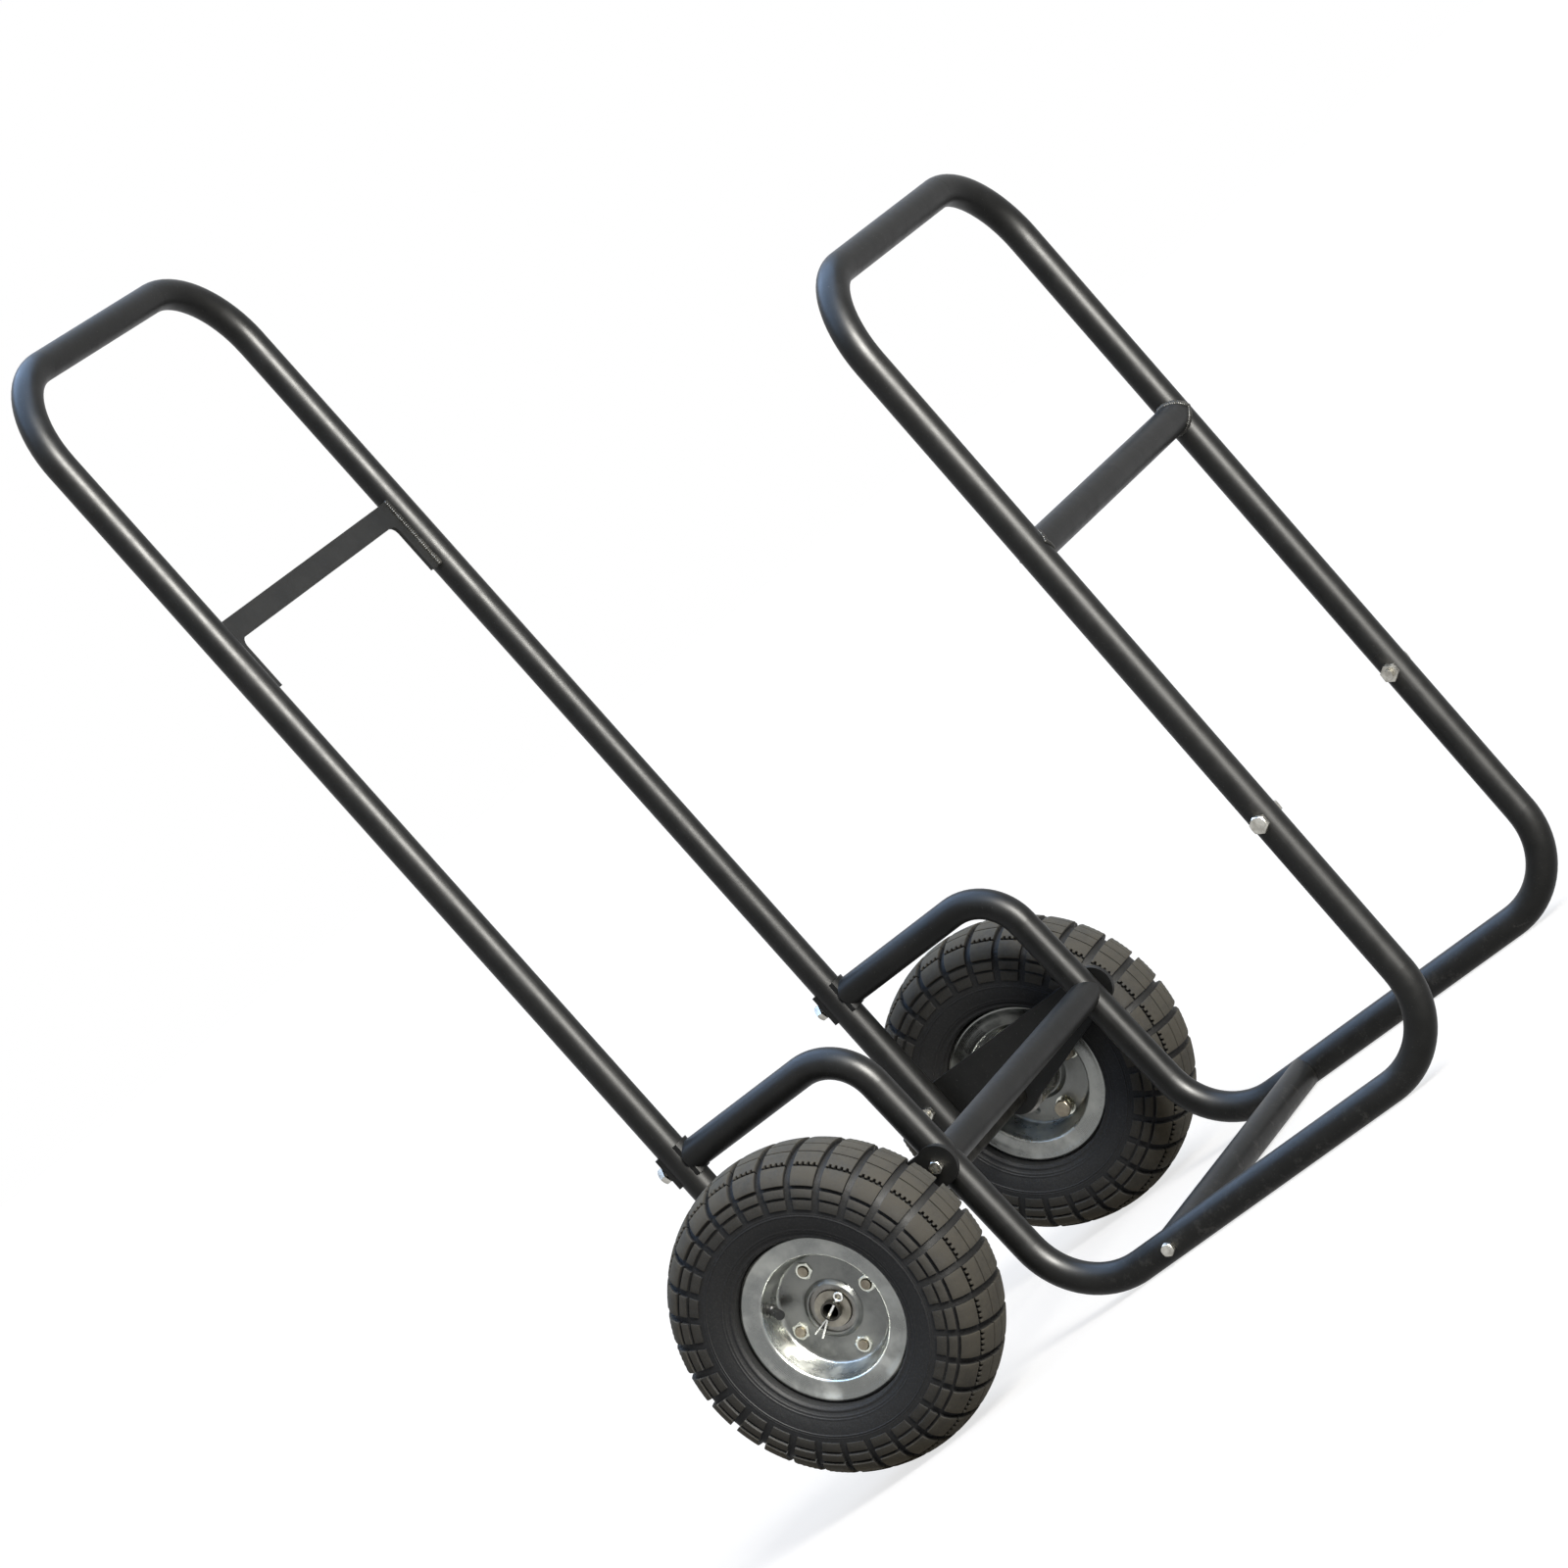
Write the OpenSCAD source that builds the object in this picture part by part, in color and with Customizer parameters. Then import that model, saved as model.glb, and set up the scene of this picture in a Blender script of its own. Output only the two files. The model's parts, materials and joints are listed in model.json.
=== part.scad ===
// Log cart: bent steel tube frame on two pneumatic wheels.
// Millimetres, +Z up, front towards -Y, handle towards +Y.
// The origin is on the ground under the middle of the cart's outline.
// Left and right are those of a person who holds the handle: left is +X.

/* [Tube] */
// Outer diameter of the frame tube
tube_d = 25.4; // [22:0.1:32]
// Wall of the frame tube
tube_wall = 1.5; // [1:0.1:2.5]
// Distance between the left and right tubes, centre to centre
frame_w = 350; // [280:1:460]

/* [Handle] */
// Height of the grip bar's centre above the ground
handle_h = 1089; // [900:1:1200]
// Backward lean of the handle from upright
handle_lean = 2.5; // [0:0.1:8]
// Bend radius of the handle's corners, at the tube's centre
handle_bend_r = 76; // [50:1:110]
// Distance of the posts behind the axle, at the height of the axle
post_y = 59; // [45:1:90]
// How far the posts run down below the bolts of the axle brackets
post_foot_drop = 23; // [20:1:32]
// Height of the flat brace's lower edge
brace_h = 822; // [600:1:900]
// Width of the flat brace
brace_w = 20; // [12:1:40]
// Thickness of the flat brace
brace_t = 3; // [2:0.5:6]
// How far the brace's tabs run down the posts below the brace
brace_tab_h = 48; // [20:1:80]
// Width of the brace's tabs
brace_tab_w = 14; // [8:1:20]

/* [Front rack] */
// Height of the hoop's top bar above the ground
rack_h = 744; // [500:1:900]
// Backward lean of the rack from upright
rack_lean = 1.8; // [0:0.1:8]
// Bend radius of the hoop's corners
rack_bend_r = 70; // [50:1:110]
// Height of the cross tube on the hoop
rack_cross_h = 491; // [350:1:560]
// Height of the joint between hoop and side frame
rack_joint_h = 247; // [200:1:300]
// Distance of the joint's bolt below the joint
rack_bolt_drop = 17; // [12:1:24]
// Length of the hoop's spigots below the joint
spigot_len = 42; // [30:1:70]

/* [Side frames] */
// Height of the bed rails' centre above the ground
bed_h = 288; // [260:1:330]
// Distance of the legs' top corner in front of the axle
leg_y = 110; // [95:1:150]
// Forward rake of the legs
leg_rake = 4.3; // [0:0.1:8]
// Distance of the rack's foot in front of the axle
rack_foot_y = 522; // [450:1:600]
// Bend radius between bed rail and leg
bed_bend_r = 45; // [40:1:60]
// Bend radius at both ends of the ground rails
rail_bend_r = 66; // [50:1:80]
// Distance of the ground cross tube in front of the axle
ground_cross_y = 227; // [215:1:420]
// Height of the leg cross tube above the ground
leg_cross_h = 169; // [130:1:190]

/* [Axle] */
// Diameter of the axle tube
axle_d = 16; // [12:0.5:20]
// Wall of the axle tube
axle_wall = 1.5; // [1:0.5:5]
// Thickness of the axle brackets
bracket_t = 5; // [3:0.5:6]
// Radius of the brackets' rounded corners
bracket_r = 17; // [14:1:20]
// Outer diameter of the axle washers
axle_washer_d = 30; // [24:1:34]
// Thickness of the axle washers
axle_washer_t = 2; // [1:0.5:3]
// Diameter of the cotter pins
cotter_d = 2.8; // [2:0.1:4]
// Turn of the cotter pins about the axle, from upright
cotter_turn = 66; // [0:1:360]
// Distance between the outer washer and the axle's end
axle_end = 5; // [5:0.5:16]

/* [Wheels] */
// Clearance between the axle brackets and the tyres
wheel_gap = 5.8; // [5:0.1:60]
// Width of the tyre's section
tyre_w = 86; // [80:1:92]
// Outer diameter of the tyre, over the tread
tyre_d = 269; // [240:1:300]
// Depth of the tread
tread_h = 4.5; // [2:0.5:7]
// Number of tread lugs round the tyre
tread_lugs = 30; // [16:1:36]
// Width of the slots between lugs
slot_w = 6; // [3:0.5:8]
// Outer diameter of the rim's flanges
rim_d = 139; // [130:1:144]
// Width over the rim's flanges
rim_w = 56; // [50:1:60]
// Sheet thickness of the rim
rim_t = 2; // [1.5:0.1:3]
// Distance of the rim's bolted face outside the wheel's middle plane
disc_z = -2.5; // [-5:0.5:6]
// Distance of the hub's outer end outside the wheel's middle plane
hub_out = 5.5; // [4:0.5:12]
// Outer diameter of the hub
hub_d = 39; // [37:0.5:44]
// Diameter of the circle of rim bolts
rim_bolt_pcd = 73; // [68:1:80]
// Number of rim bolts
rim_bolt_n = 4; // [3:1:6]

/* [Fasteners] */
// Thread diameter of the rack, handle and rim bolts
bolt_d = 8; // [6:1:8]
// Thread diameter of the bracket and cross tube bolts
tie_bolt_d = 6; // [5:1:6]

/* [Hidden] */
$fn = 48;
round_fn = 96;

black = [0.16, 0.16, 0.155];
zinc = [0.72, 0.73, 0.74];
rubber = [0.11, 0.11, 0.105];
plastic = [0.06, 0.06, 0.06];

// Seats and fits
seat = 0.05;        // gap at a welded or clamped seat
play = 0.3;         // side play of a wheel on its axle
run = 0.05;         // radial clearance of a running fit
slip = 0.2;         // radial clearance of a spigot or plug
cut = 1;            // how far a cutter runs past the face that it cuts
swell = 0.04;       // growth of the tube's radius in a bend
run_in = 1;         // how far a straight runs into the bend beside it

tube_r = tube_d / 2;
bore_d = tube_d - 2 * tube_wall;
side_x = frame_w / 2;
tyre_r = tyre_d / 2;
axle_h = tyre_r;
foot_turn = 90 + rack_lean;
rack_reach = rack_foot_y + rail_bend_r * (1 - tan(foot_turn / 2)) + tube_r;
axle_y = (rack_reach - tyre_r) / 2;
bracket_x = side_x + tube_r;
tyre_half = tyre_w / 2;
wheel_x = bracket_x + bracket_t + wheel_gap + tyre_half;
post_foot_h = leg_cross_h - post_foot_drop;

// Places on the leaning parts: distance behind the axle at a height above the ground
function post_at(h) = post_y + (h - axle_h) * tan(handle_lean);
function rack_at(h) = -rack_foot_y + (h - tube_r) * tan(rack_lean);
function leg_at(h) = -leg_y - (bed_h - h) * tan(leg_rake);
// Length along a part that leans by angle a, up to height h
function along(h, a) = h / cos(a);

// ---------- bent tube ----------

function dir2(a, b) = (b - a) / norm(b - a);
function turn_at(pts, i) = let (u = dir2(pts[i - 1], pts[i]), v = dir2(pts[i], pts[i + 1]))
    atan2(u.x * v.y - u.y * v.x, u * v);
// Distance from corner i back to where its bend starts
function setback(pts, bends, i) =
    (i == 0 || i == len(pts) - 1) ? 0 : bends[i - 1] * tan(abs(turn_at(pts, i)) / 2);

module rod(a, b, d) {
    translate([a.x, a.y, 0])
        rotate([0, 0, atan2(b.y - a.y, b.x - a.x)])
            rotate([0, 90, 0])
                cylinder(d = d, h = norm(b - a));
}

module elbow(pts, bends, i, d) {
    t = turn_at(pts, i);
    r = bends[i - 1];
    u = dir2(pts[i - 1], pts[i]);
    start = pts[i] - u * setback(pts, bends, i);
    c = start + sign(t) * r * [-u.y, u.x];
    translate([c.x, c.y, 0])
        rotate([0, 0, atan2(start.y - c.y, start.x - c.x) + min(t, 0)])
            rotate_extrude(angle = abs(t))
                translate([r, 0])
                    circle(d = d);
}

// Solid round bar along corner points in the XY plane, with a bend at each inner corner.
// A bend is a hair thicker than the straights, which run a little way into it.
module bent_bar(pts, bends, d) {
    n = len(pts);
    for (i = [0 : n - 2]) {
        u = dir2(pts[i], pts[i + 1]);
        a = i == 0 ? 0 : setback(pts, bends, i) - run_in;
        b = i == n - 2 ? 0 : setback(pts, bends, i + 1) - run_in;
        rod(pts[i] + a * u, pts[i + 1] - b * u, d);
    }
    for (i = [1 : n - 2])
        elbow(pts, bends, i, d + 2 * swell);
}

// The same points with both ends moved outwards by e
function stretched(pts, e) = let (n = len(pts)) [for (i = [0 : n - 1])
    i == 0 ? pts[0] - dir2(pts[0], pts[1]) * e
    : i == n - 1 ? pts[n - 1] + dir2(pts[n - 2], pts[n - 1]) * e
    : pts[i]];

module bent_tube(pts, bends) {
    difference() {
        bent_bar(pts, bends, tube_d);
        bent_bar(stretched(pts, cut), bends, bore_d);
    }
}

// ---------- places ----------

module from_axle() {
    translate([0, axle_y, 0])
        children();
}

module both_sides() {
    children();
    mirror([1, 0, 0])
        children();
}

// Local XY plane becomes the handle's plane; local Y runs up the posts from the ground
module handle_plane() {
    from_axle()
        translate([0, post_at(0), 0])
            rotate([90 - handle_lean, 0, 0])
                children();
}

module rack_plane() {
    from_axle()
        translate([0, rack_at(0), 0])
            rotate([90 - rack_lean, 0, 0])
                children();
}

// Local XY plane becomes the side plane: X runs back, Y up, Z to the left
module side_plane(x) {
    from_axle()
        translate([x, 0, 0])
            rotate([90, 0, 90])
                children();
}

// Local +Z points outwards to the left, from the point (x, y behind the axle, h)
module outward(x, y, h) {
    from_axle()
        translate([x, y, h])
            rotate([0, 90, 0])
                children();
}

// ---------- fasteners, along +Z, with the underside of the head at z = 0 ----------

function hex_af(d) = 1.63 * d;
function head_h(d) = 0.66 * d;
function nut_h(d) = 0.8 * d;
function clear_d(d) = 1.06 * d;

module hex_prism(af, h) {
    cylinder(d = af / cos(30), h = h, $fn = 6);
}

// Head above z = 0 with its corners turned off, shank down to -len
module hex_bolt(d, len) {
    intersection() {
        hex_prism(hex_af(d), head_h(d));
        cylinder(d1 = 2 * hex_af(d), d2 = hex_af(d) * 0.98, h = head_h(d) + 0.01);
    }
    translate([0, 0, -len])
        cylinder(d = d, h = len + 0.5);
}

// Nut from z = 0 down to -nut_h, round a bolt
module hex_nut(d) {
    translate([0, 0, -nut_h(d)])
        difference() {
            hex_prism(hex_af(d), nut_h(d));
            translate([0, 0, -cut])
                cylinder(d = d + 2 * seat, h = nut_h(d) + 2 * cut);
        }
}

// ---------- handle ----------

handle_pts = [
    [-side_x, along(post_foot_h, handle_lean)],
    [-side_x, along(handle_h, handle_lean)],
    [side_x, along(handle_h, handle_lean)],
    [side_x, along(post_foot_h, handle_lean)]];

module handle_bolt_hole() {
    both_sides()
        from_axle()
            translate([side_x, post_at(bed_h) + tube_d, bed_h])
                rotate([90, 0, 0])
                    cylinder(d = clear_d(bolt_d), h = 2 * tube_d);
}

module bracket_post_hole() {
    both_sides()
        outward(side_x - tube_d, post_at(leg_cross_h), leg_cross_h)
            cylinder(d = clear_d(tie_bolt_d), h = 2 * tube_d);
}

module handle_frame() {
    color(black)
        difference() {
            handle_plane()
                bent_tube(handle_pts, [handle_bend_r, handle_bend_r]);
            handle_bolt_hole();
            bracket_post_hole();
        }
}

// Half of the brace's outline: bar, tab and the fillet between them
module brace_half() {
    fillet = 8;
    low = along(brace_h, handle_lean);
    reach = side_x - tube_r - brace_tab_w;
    translate([0, low])
        square([side_x, brace_w]);
    translate([reach, low - brace_tab_h])
        square([side_x - reach, brace_tab_h + brace_w]);
    difference() {
        translate([reach - fillet, low - fillet])
            square([fillet, fillet]);
        translate([reach - fillet, low - fillet])
            circle(r = fillet);
    }
}

module handle_brace() {
    color(black)
        handle_plane()
            difference() {
                translate([0, 0, -brace_t / 2])
                    linear_extrude(brace_t)
                        union() {
                            brace_half();
                            mirror([1, 0])
                                brace_half();
                        }
                for (x = [-side_x, side_x])
                    rod([x, along(brace_h - brace_tab_h, handle_lean) - cut],
                        [x, along(brace_h, handle_lean) + brace_w + cut], tube_d + 2 * seat);
            }
}

module post_end_plugs() {
    plug_len = 18;
    cap_t = 3;
    color(plastic)
        handle_plane()
            for (x = [-side_x, side_x])
                translate([x, along(post_foot_h, handle_lean), 0])
                    rotate([-90, 0, 0]) {
                        cylinder(d = bore_d - 2 * seat, h = plug_len);
                        translate([0, 0, -cap_t])
                            cylinder(d = tube_d, h = cap_t - seat);
                        translate([0, 0, -cap_t])
                            cylinder(d = bore_d - 4, h = cap_t + 1);
                    }
}

// ---------- front rack ----------

rack_joint_v = along(rack_joint_h, rack_lean);
rack_pts = [
    [-side_x, rack_joint_v],
    [-side_x, along(rack_h, rack_lean)],
    [side_x, along(rack_h, rack_lean)],
    [side_x, rack_joint_v]];
spigot_d = bore_d - 2 * slip;
neck = 8;

module rack_bolt_hole() {
    h = rack_joint_h - rack_bolt_drop;
    both_sides()
        outward(side_x - tube_d, rack_at(h), h)
            cylinder(d = clear_d(bolt_d), h = 2 * tube_d);
}

module rack_hoop() {
    color(black)
        difference() {
            rack_plane()
                difference() {
                    union() {
                        bent_bar(rack_pts, [rack_bend_r, rack_bend_r], tube_d);
                        for (x = [-side_x, side_x])
                            rod([x, rack_joint_v - spigot_len], [x, rack_joint_v + neck / 2], spigot_d);
                    }
                    bent_bar(stretched(rack_pts, -neck), [rack_bend_r, rack_bend_r], bore_d);
                    for (x = [-side_x, side_x])
                        rod([x, rack_joint_v - spigot_len - cut], [x, rack_joint_v + neck + cut],
                            spigot_d - 2 * tube_wall);
                }
            rack_bolt_hole();
        }
}

// A tube across the frame, its ends cut to fit round the tubes beside it
module tie_tube(y, h) {
    difference() {
        outward(-side_x, y, h)
            cylinder(d = tube_d, h = frame_w);
        outward(-side_x - cut, y, h)
            cylinder(d = bore_d, h = frame_w + 2 * cut);
        children();
    }
}

module rack_cross_tube() {
    v = along(rack_cross_h, rack_lean);
    color(black)
        tie_tube(rack_at(rack_cross_h), rack_cross_h)
            rack_plane()
                for (x = [-side_x, side_x])
                    rod([x, v - tube_d], [x, v + tube_d], tube_d + 2 * seat);
}

// ---------- side frames ----------

saddle_t = 3;
rail_rear_y = post_at(bed_h) - tube_r - saddle_t - 2 * seat;
side_pts = [
    [post_at(bed_h), bed_h],
    [leg_at(bed_h), bed_h],
    [leg_at(tube_r), tube_r],
    [rack_at(tube_r), tube_r],
    [rack_at(rack_joint_h), rack_joint_h - seat]];

module side_frame(x) {
    color(black)
        difference() {
            side_plane(x)
                bent_tube(side_pts, [bed_bend_r, rail_bend_r, rail_bend_r]);
            side_plane(x)
                rod([post_at(bed_h - tube_d), bed_h - tube_d], [post_at(bed_h + tube_d), bed_h + tube_d],
                    tube_d + 2 * (saddle_t + 2 * seat));
            rack_bolt_hole();
            both_sides() {
                outward(side_x - tube_d, leg_at(leg_cross_h), leg_cross_h)
                    cylinder(d = clear_d(tie_bolt_d), h = 2 * tube_d);
                outward(side_x - tube_d, -ground_cross_y, tube_r)
                    cylinder(d = clear_d(tie_bolt_d), h = 2 * tube_d);
            }
        }
}

module side_frame_left() {
    side_frame(side_x);
}

module side_frame_right() {
    side_frame(-side_x);
}

module leg_cross_tube() {
    color(black)
        tie_tube(leg_at(leg_cross_h), leg_cross_h)
            for (x = [-side_x, side_x])
                side_plane(x)
                    rod([leg_at(leg_cross_h - tube_d), leg_cross_h - tube_d],
                        [leg_at(leg_cross_h + tube_d), leg_cross_h + tube_d], tube_d + 2 * seat);
}

module ground_cross_tube() {
    color(black)
        tie_tube(-ground_cross_y, tube_r)
            for (x = [-side_x, side_x])
                side_plane(x)
                    rod([-ground_cross_y - tube_d, tube_r], [-ground_cross_y + tube_d, tube_r],
                        tube_d + 2 * seat);
}

// Threaded plug that fills a tube's end, along +Z from z = 0
module insert(len, d) {
    difference() {
        cylinder(d = bore_d - 2 * seat, h = len);
        translate([0, 0, -cut])
            cylinder(d = d + 2 * seat, h = len + 2 * cut);
    }
}

insert_len = 20;
insert_x = side_x - tube_r - 1;

module cross_tube_inserts() {
    color(zinc)
        both_sides() {
            outward(insert_x - insert_len, leg_at(leg_cross_h), leg_cross_h)
                insert(insert_len, tie_bolt_d);
            outward(insert_x - insert_len, -ground_cross_y, tube_r)
                insert(insert_len, tie_bolt_d);
        }
}

module rail_end_inserts() {
    lean_gap = bore_d / 2 * tan(handle_lean) + 4 * seat;
    color(zinc)
        both_sides()
            from_axle()
                translate([side_x, rail_rear_y - lean_gap, bed_h])
                    rotate([90, 0, 0])
                        insert(insert_len, bolt_d);
}

// ---------- axle and its brackets ----------

lobe_step = 1.5;    // how much narrower the bracket's web is than its lobes
bracket_pins = [
    [post_at(leg_cross_h), leg_cross_h],
    [leg_at(leg_cross_h), leg_cross_h],
    [0, axle_h]];

// Plate round three pins in order: a lobe at each pin and a slightly narrower web between them
module lobed_web(p, r) {
    n = len(p);
    w = r - lobe_step;
    polygon([for (i = [0 : n - 1]) let (a = p[i], b = p[(i + 1) % n], u = dir2(a, b))
        for (q = [a, b]) q + w * [u.y, -u.x]]);
    for (q = p)
        translate(q)
            circle(r = r);
}

module axle_bracket(side) {
    color(black)
        mirror([side < 0 ? 1 : 0, 0, 0])
            side_plane(bracket_x)
                difference() {
                    linear_extrude(bracket_t)
                        lobed_web([bracket_pins[1], bracket_pins[2], bracket_pins[0]], bracket_r);
                    for (q = [bracket_pins[0], bracket_pins[1]])
                        translate([q.x, q.y, -cut])
                            cylinder(d = clear_d(tie_bolt_d), h = bracket_t + 2 * cut);
                    translate([0, axle_h, -cut])
                        cylinder(d = axle_d + 2 * slip, h = bracket_t + 2 * cut);
                }
}

module axle_bracket_left() {
    axle_bracket(1);
}

module axle_bracket_right() {
    axle_bracket(-1);
}

// From the bracket outwards: washer, play, hub, play, washer, axle end
inner_washer_x = bracket_x + bracket_t + seat;
hub_in_x = inner_washer_x + axle_washer_t + play;
hub_out_x = wheel_x + hub_out;
outer_washer_x = hub_out_x + play;
axle_end_x = outer_washer_x + axle_washer_t + axle_end;
cotter_x = outer_washer_x + axle_washer_t + cotter_d / 2 + seat;

module axle() {
    color(zinc)
        difference() {
            outward(-axle_end_x, 0, axle_h)
                cylinder(d = axle_d, h = 2 * axle_end_x);
            outward(-axle_end_x - cut, 0, axle_h)
                cylinder(d = axle_d - 2 * axle_wall, h = 2 * (axle_end_x + cut));
            both_sides()
                from_axle()
                    translate([cotter_x, 0, axle_h])
                        rotate([cotter_turn, 0, 0])
                            cylinder(d = cotter_d + 2 * seat, h = 2 * axle_d, center = true);
        }
}

module axle_washers() {
    color(zinc)
        both_sides()
            for (x = [inner_washer_x, outer_washer_x])
                outward(x, 0, axle_h)
                    difference() {
                        cylinder(d = axle_washer_d, h = axle_washer_t);
                        translate([0, 0, -cut])
                            cylinder(d = axle_d + 2 * seat, h = axle_washer_t + 2 * cut);
                    }
}

// Split pin through the axle: an eye above and two spread half-round legs below
module cotter_pin() {
    eye_r = 1.2 * cotter_d;
    wire_d = 0.65 * cotter_d;
    grip = axle_d / 2 + 1.5;
    leg = 6 * cotter_d;
    spread = 9;
    cylinder(d = cotter_d, h = 2 * grip, center = true);
    translate([0, 0, grip + eye_r])
        rotate([0, 90, 0])
            rotate_extrude()
                translate([eye_r, 0])
                    circle(d = wire_d);
    for (a = [0, 180])
        rotate([0, 0, a])
            translate([0, 0, -grip])
                rotate([spread, 0, 0])
                    translate([0, 0, -leg])
                        intersection() {
                            cylinder(d = cotter_d - 2 * seat, h = leg + 1);
                            translate([-cotter_d, 0, 0])
                                cube([2 * cotter_d, cotter_d, 2 * leg]);
                        }
}

module cotter_pins() {
    color(zinc)
        both_sides()
            from_axle()
                translate([cotter_x, 0, axle_h])
                    rotate([cotter_turn, 0, 0])
                        cotter_pin();
}

// ---------- joints of the frame ----------

// Curved plate that hugs a post, between radius r and r + saddle_t
module saddle(h) {
    w = 20;
    intersection() {
        difference() {
            cylinder(r = tube_r + seat + saddle_t, h = h, center = true);
            cylinder(r = tube_r + seat, h = h + 2 * cut, center = true);
        }
        translate([-w / 2, 0, -h])
            cube([w, tube_d, 2 * h]);
    }
}

saddle_h = 29;
bolt_seat = 0.8;    // bolt heads bed on the saddle's crown

module handle_saddles() {
    color(black)
        difference() {
            both_sides()
                from_axle()
                    translate([side_x, post_at(bed_h), bed_h])
                        rotate([-handle_lean, 0, 0]) {
                            saddle(saddle_h);
                            mirror([0, 1, 0])
                                saddle(saddle_h);
                        }
            handle_bolt_hole();
        }
}

module handle_joint_bolts() {
    shank = tube_d + 2 * saddle_t + insert_len - 2;
    color(zinc)
        both_sides()
            from_axle()
                translate([side_x, post_at(bed_h) + tube_r + saddle_t + bolt_seat, bed_h])
                    rotate([-90, 0, 0])
                        hex_bolt(bolt_d, shank);
}

module rack_joint_bolts() {
    h = rack_joint_h - rack_bolt_drop;
    color(zinc)
        both_sides()
            outward(side_x + tube_r + seat, rack_at(h), h)
                hex_bolt(bolt_d, tube_d + nut_h(bolt_d) + 4);
}

module rack_joint_nuts() {
    h = rack_joint_h - rack_bolt_drop;
    color(zinc)
        both_sides()
            outward(side_x - tube_r - seat, rack_at(h), h)
                hex_nut(bolt_d);
}

module bracket_bolts() {
    x = bracket_x + bracket_t + seat;
    color(zinc)
        both_sides() {
            outward(x, leg_at(leg_cross_h), leg_cross_h)
                hex_bolt(tie_bolt_d, bracket_t + tube_d + insert_len - 2);
            outward(x, post_at(leg_cross_h), leg_cross_h)
                hex_bolt(tie_bolt_d, bracket_t + tube_d + nut_h(tie_bolt_d) + 3);
        }
}

module bracket_nuts() {
    color(zinc)
        both_sides()
            outward(side_x - tube_r - seat, post_at(leg_cross_h), leg_cross_h)
                hex_nut(tie_bolt_d);
}

module ground_cross_bolts() {
    color(zinc)
        both_sides()
            outward(side_x + tube_r + seat, -ground_cross_y, tube_r)
                hex_bolt(tie_bolt_d, tube_d + insert_len - 2);
}

// ---------- wheel, built on its own axis: +Z outwards, z = 0 in the middle plane ----------

module wheel_place(side) {
    mirror([side < 0 ? 1 : 0, 0, 0])
        outward(wheel_x, 0, axle_h)
            children();
}

carcass_r = tyre_r - tread_h;
crown_r = 62;       // radius of the crown across the tyre
wall_r = 46;        // radius of the sidewall's bulge
wall_drop = 39.5;   // centre of that bulge below the tread
wall_lug = 1.5;     // how far the lowest blocks stand out of that bulge
wall_c = tyre_r - wall_drop;
seat_r = 53;        // bead seat of the tyre
dish_out_r = 52.5;  // rim's dish at its mouth
dish_in_r = 46;     // rim's dish at its floor
dish_mouth_r = 3;   // rounding at the dish's mouth
dish_foot_r = 4;    // rounding at the dish's floor
boss_r = 25;        // foot of the raised ring round the hub
boss_h = 3.5;       // height of that ring
lip_r = 2.6;        // outer radius of the lip's curl
core_drop = 44;     // middle of the section below the tread
tube_c = tyre_r - core_drop;
root_r = 35.3;      // the tread blocks start this far from there
cavity_drop = 41;   // middle of the tyre's hollow below the tread
cavity_c = tyre_r - cavity_drop;
cavity_r = 31.3;    // radius of the tyre's hollow
bead_in = 19;       // half of the gap between the beads

// Tyre section over the carcass, grown by g
module carcass_2d(g) {
    intersection() {
        translate([carcass_r - crown_r, 0])
            circle(r = crown_r + g, $fn = round_fn);
        translate([wall_c, tyre_half - wall_lug - wall_r])
            circle(r = wall_r + g, $fn = round_fn);
        translate([wall_c, wall_r + wall_lug - tyre_half])
            circle(r = wall_r + g, $fn = round_fn);
    }
}

module tyre_wall_2d() {
    flange_r = rim_d / 2;
    bead_half = rim_w / 2 - lip_r - 2 * slip;
    bead_r = seat_r + 2 * slip;
    heel = 2.5;
    foot = 4;
    difference() {
        union() {
            intersection() {
                carcass_2d(0);
                translate([flange_r + 4 * slip, -tyre_half])
                    square([tyre_r, 2 * tyre_half]);
            }
            translate([bead_r + heel, -bead_half])
                square([flange_r - bead_r - heel + foot, 2 * bead_half]);
            translate([bead_r, heel - bead_half])
                square([heel + 1, 2 * (bead_half - heel)]);
            for (s = [-1, 1])
                translate([bead_r + heel, s * (bead_half - heel)])
                    circle(r = heel);
        }
        translate([cavity_c, 0])
            circle(r = cavity_r, $fn = round_fn);
        translate([0, -bead_in])
            square([cavity_c, 2 * bead_in]);
    }
}

// Rows of blocks on each half of the tyre: from and to, as angles from the crown about the
// middle of the section, and the height of the blocks
tread_rows = [
    [0.8, 36, tread_h],
    [38.5, 57.5, tread_h - 0.5],
    [60.5, 68.5, tread_h - 1.5],
    [71, 81, wall_lug]];
last_row = tread_rows[len(tread_rows) - 1];
slot_floor = 0.4;   // height of the slots' bottom above the grooves' bottom

// Everything between two angles from the crown
module wedge_2d(from, to) {
    far = 2 * tyre_r;
    translate([tube_c, 0])
        polygon([[0, 0], far * [cos(from), sin(from)], far * [cos(to), sin(to)]]);
}

module tread_2d() {
    for (row = tread_rows)
        difference() {
            intersection() {
                carcass_2d(row[2]);
                wedge_2d(row[0], row[1]);
            }
            translate([tube_c, 0])
                circle(r = root_r, $fn = round_fn);
        }
}

// Slot across the tyre from shoulder to shoulder, down to just above the grooves' bottom
module tread_slot() {
    reach = last_row[1] + 4;
    rotate([90, 0, 0])
        linear_extrude(slot_w, center = true)
            for (s = [0, 1])
                mirror([0, s])
                    difference() {
                        intersection() {
                            carcass_2d(2 * tread_h);
                            wedge_2d(-1, reach);
                        }
                        carcass_2d(slot_floor);
                    }
}

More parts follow.
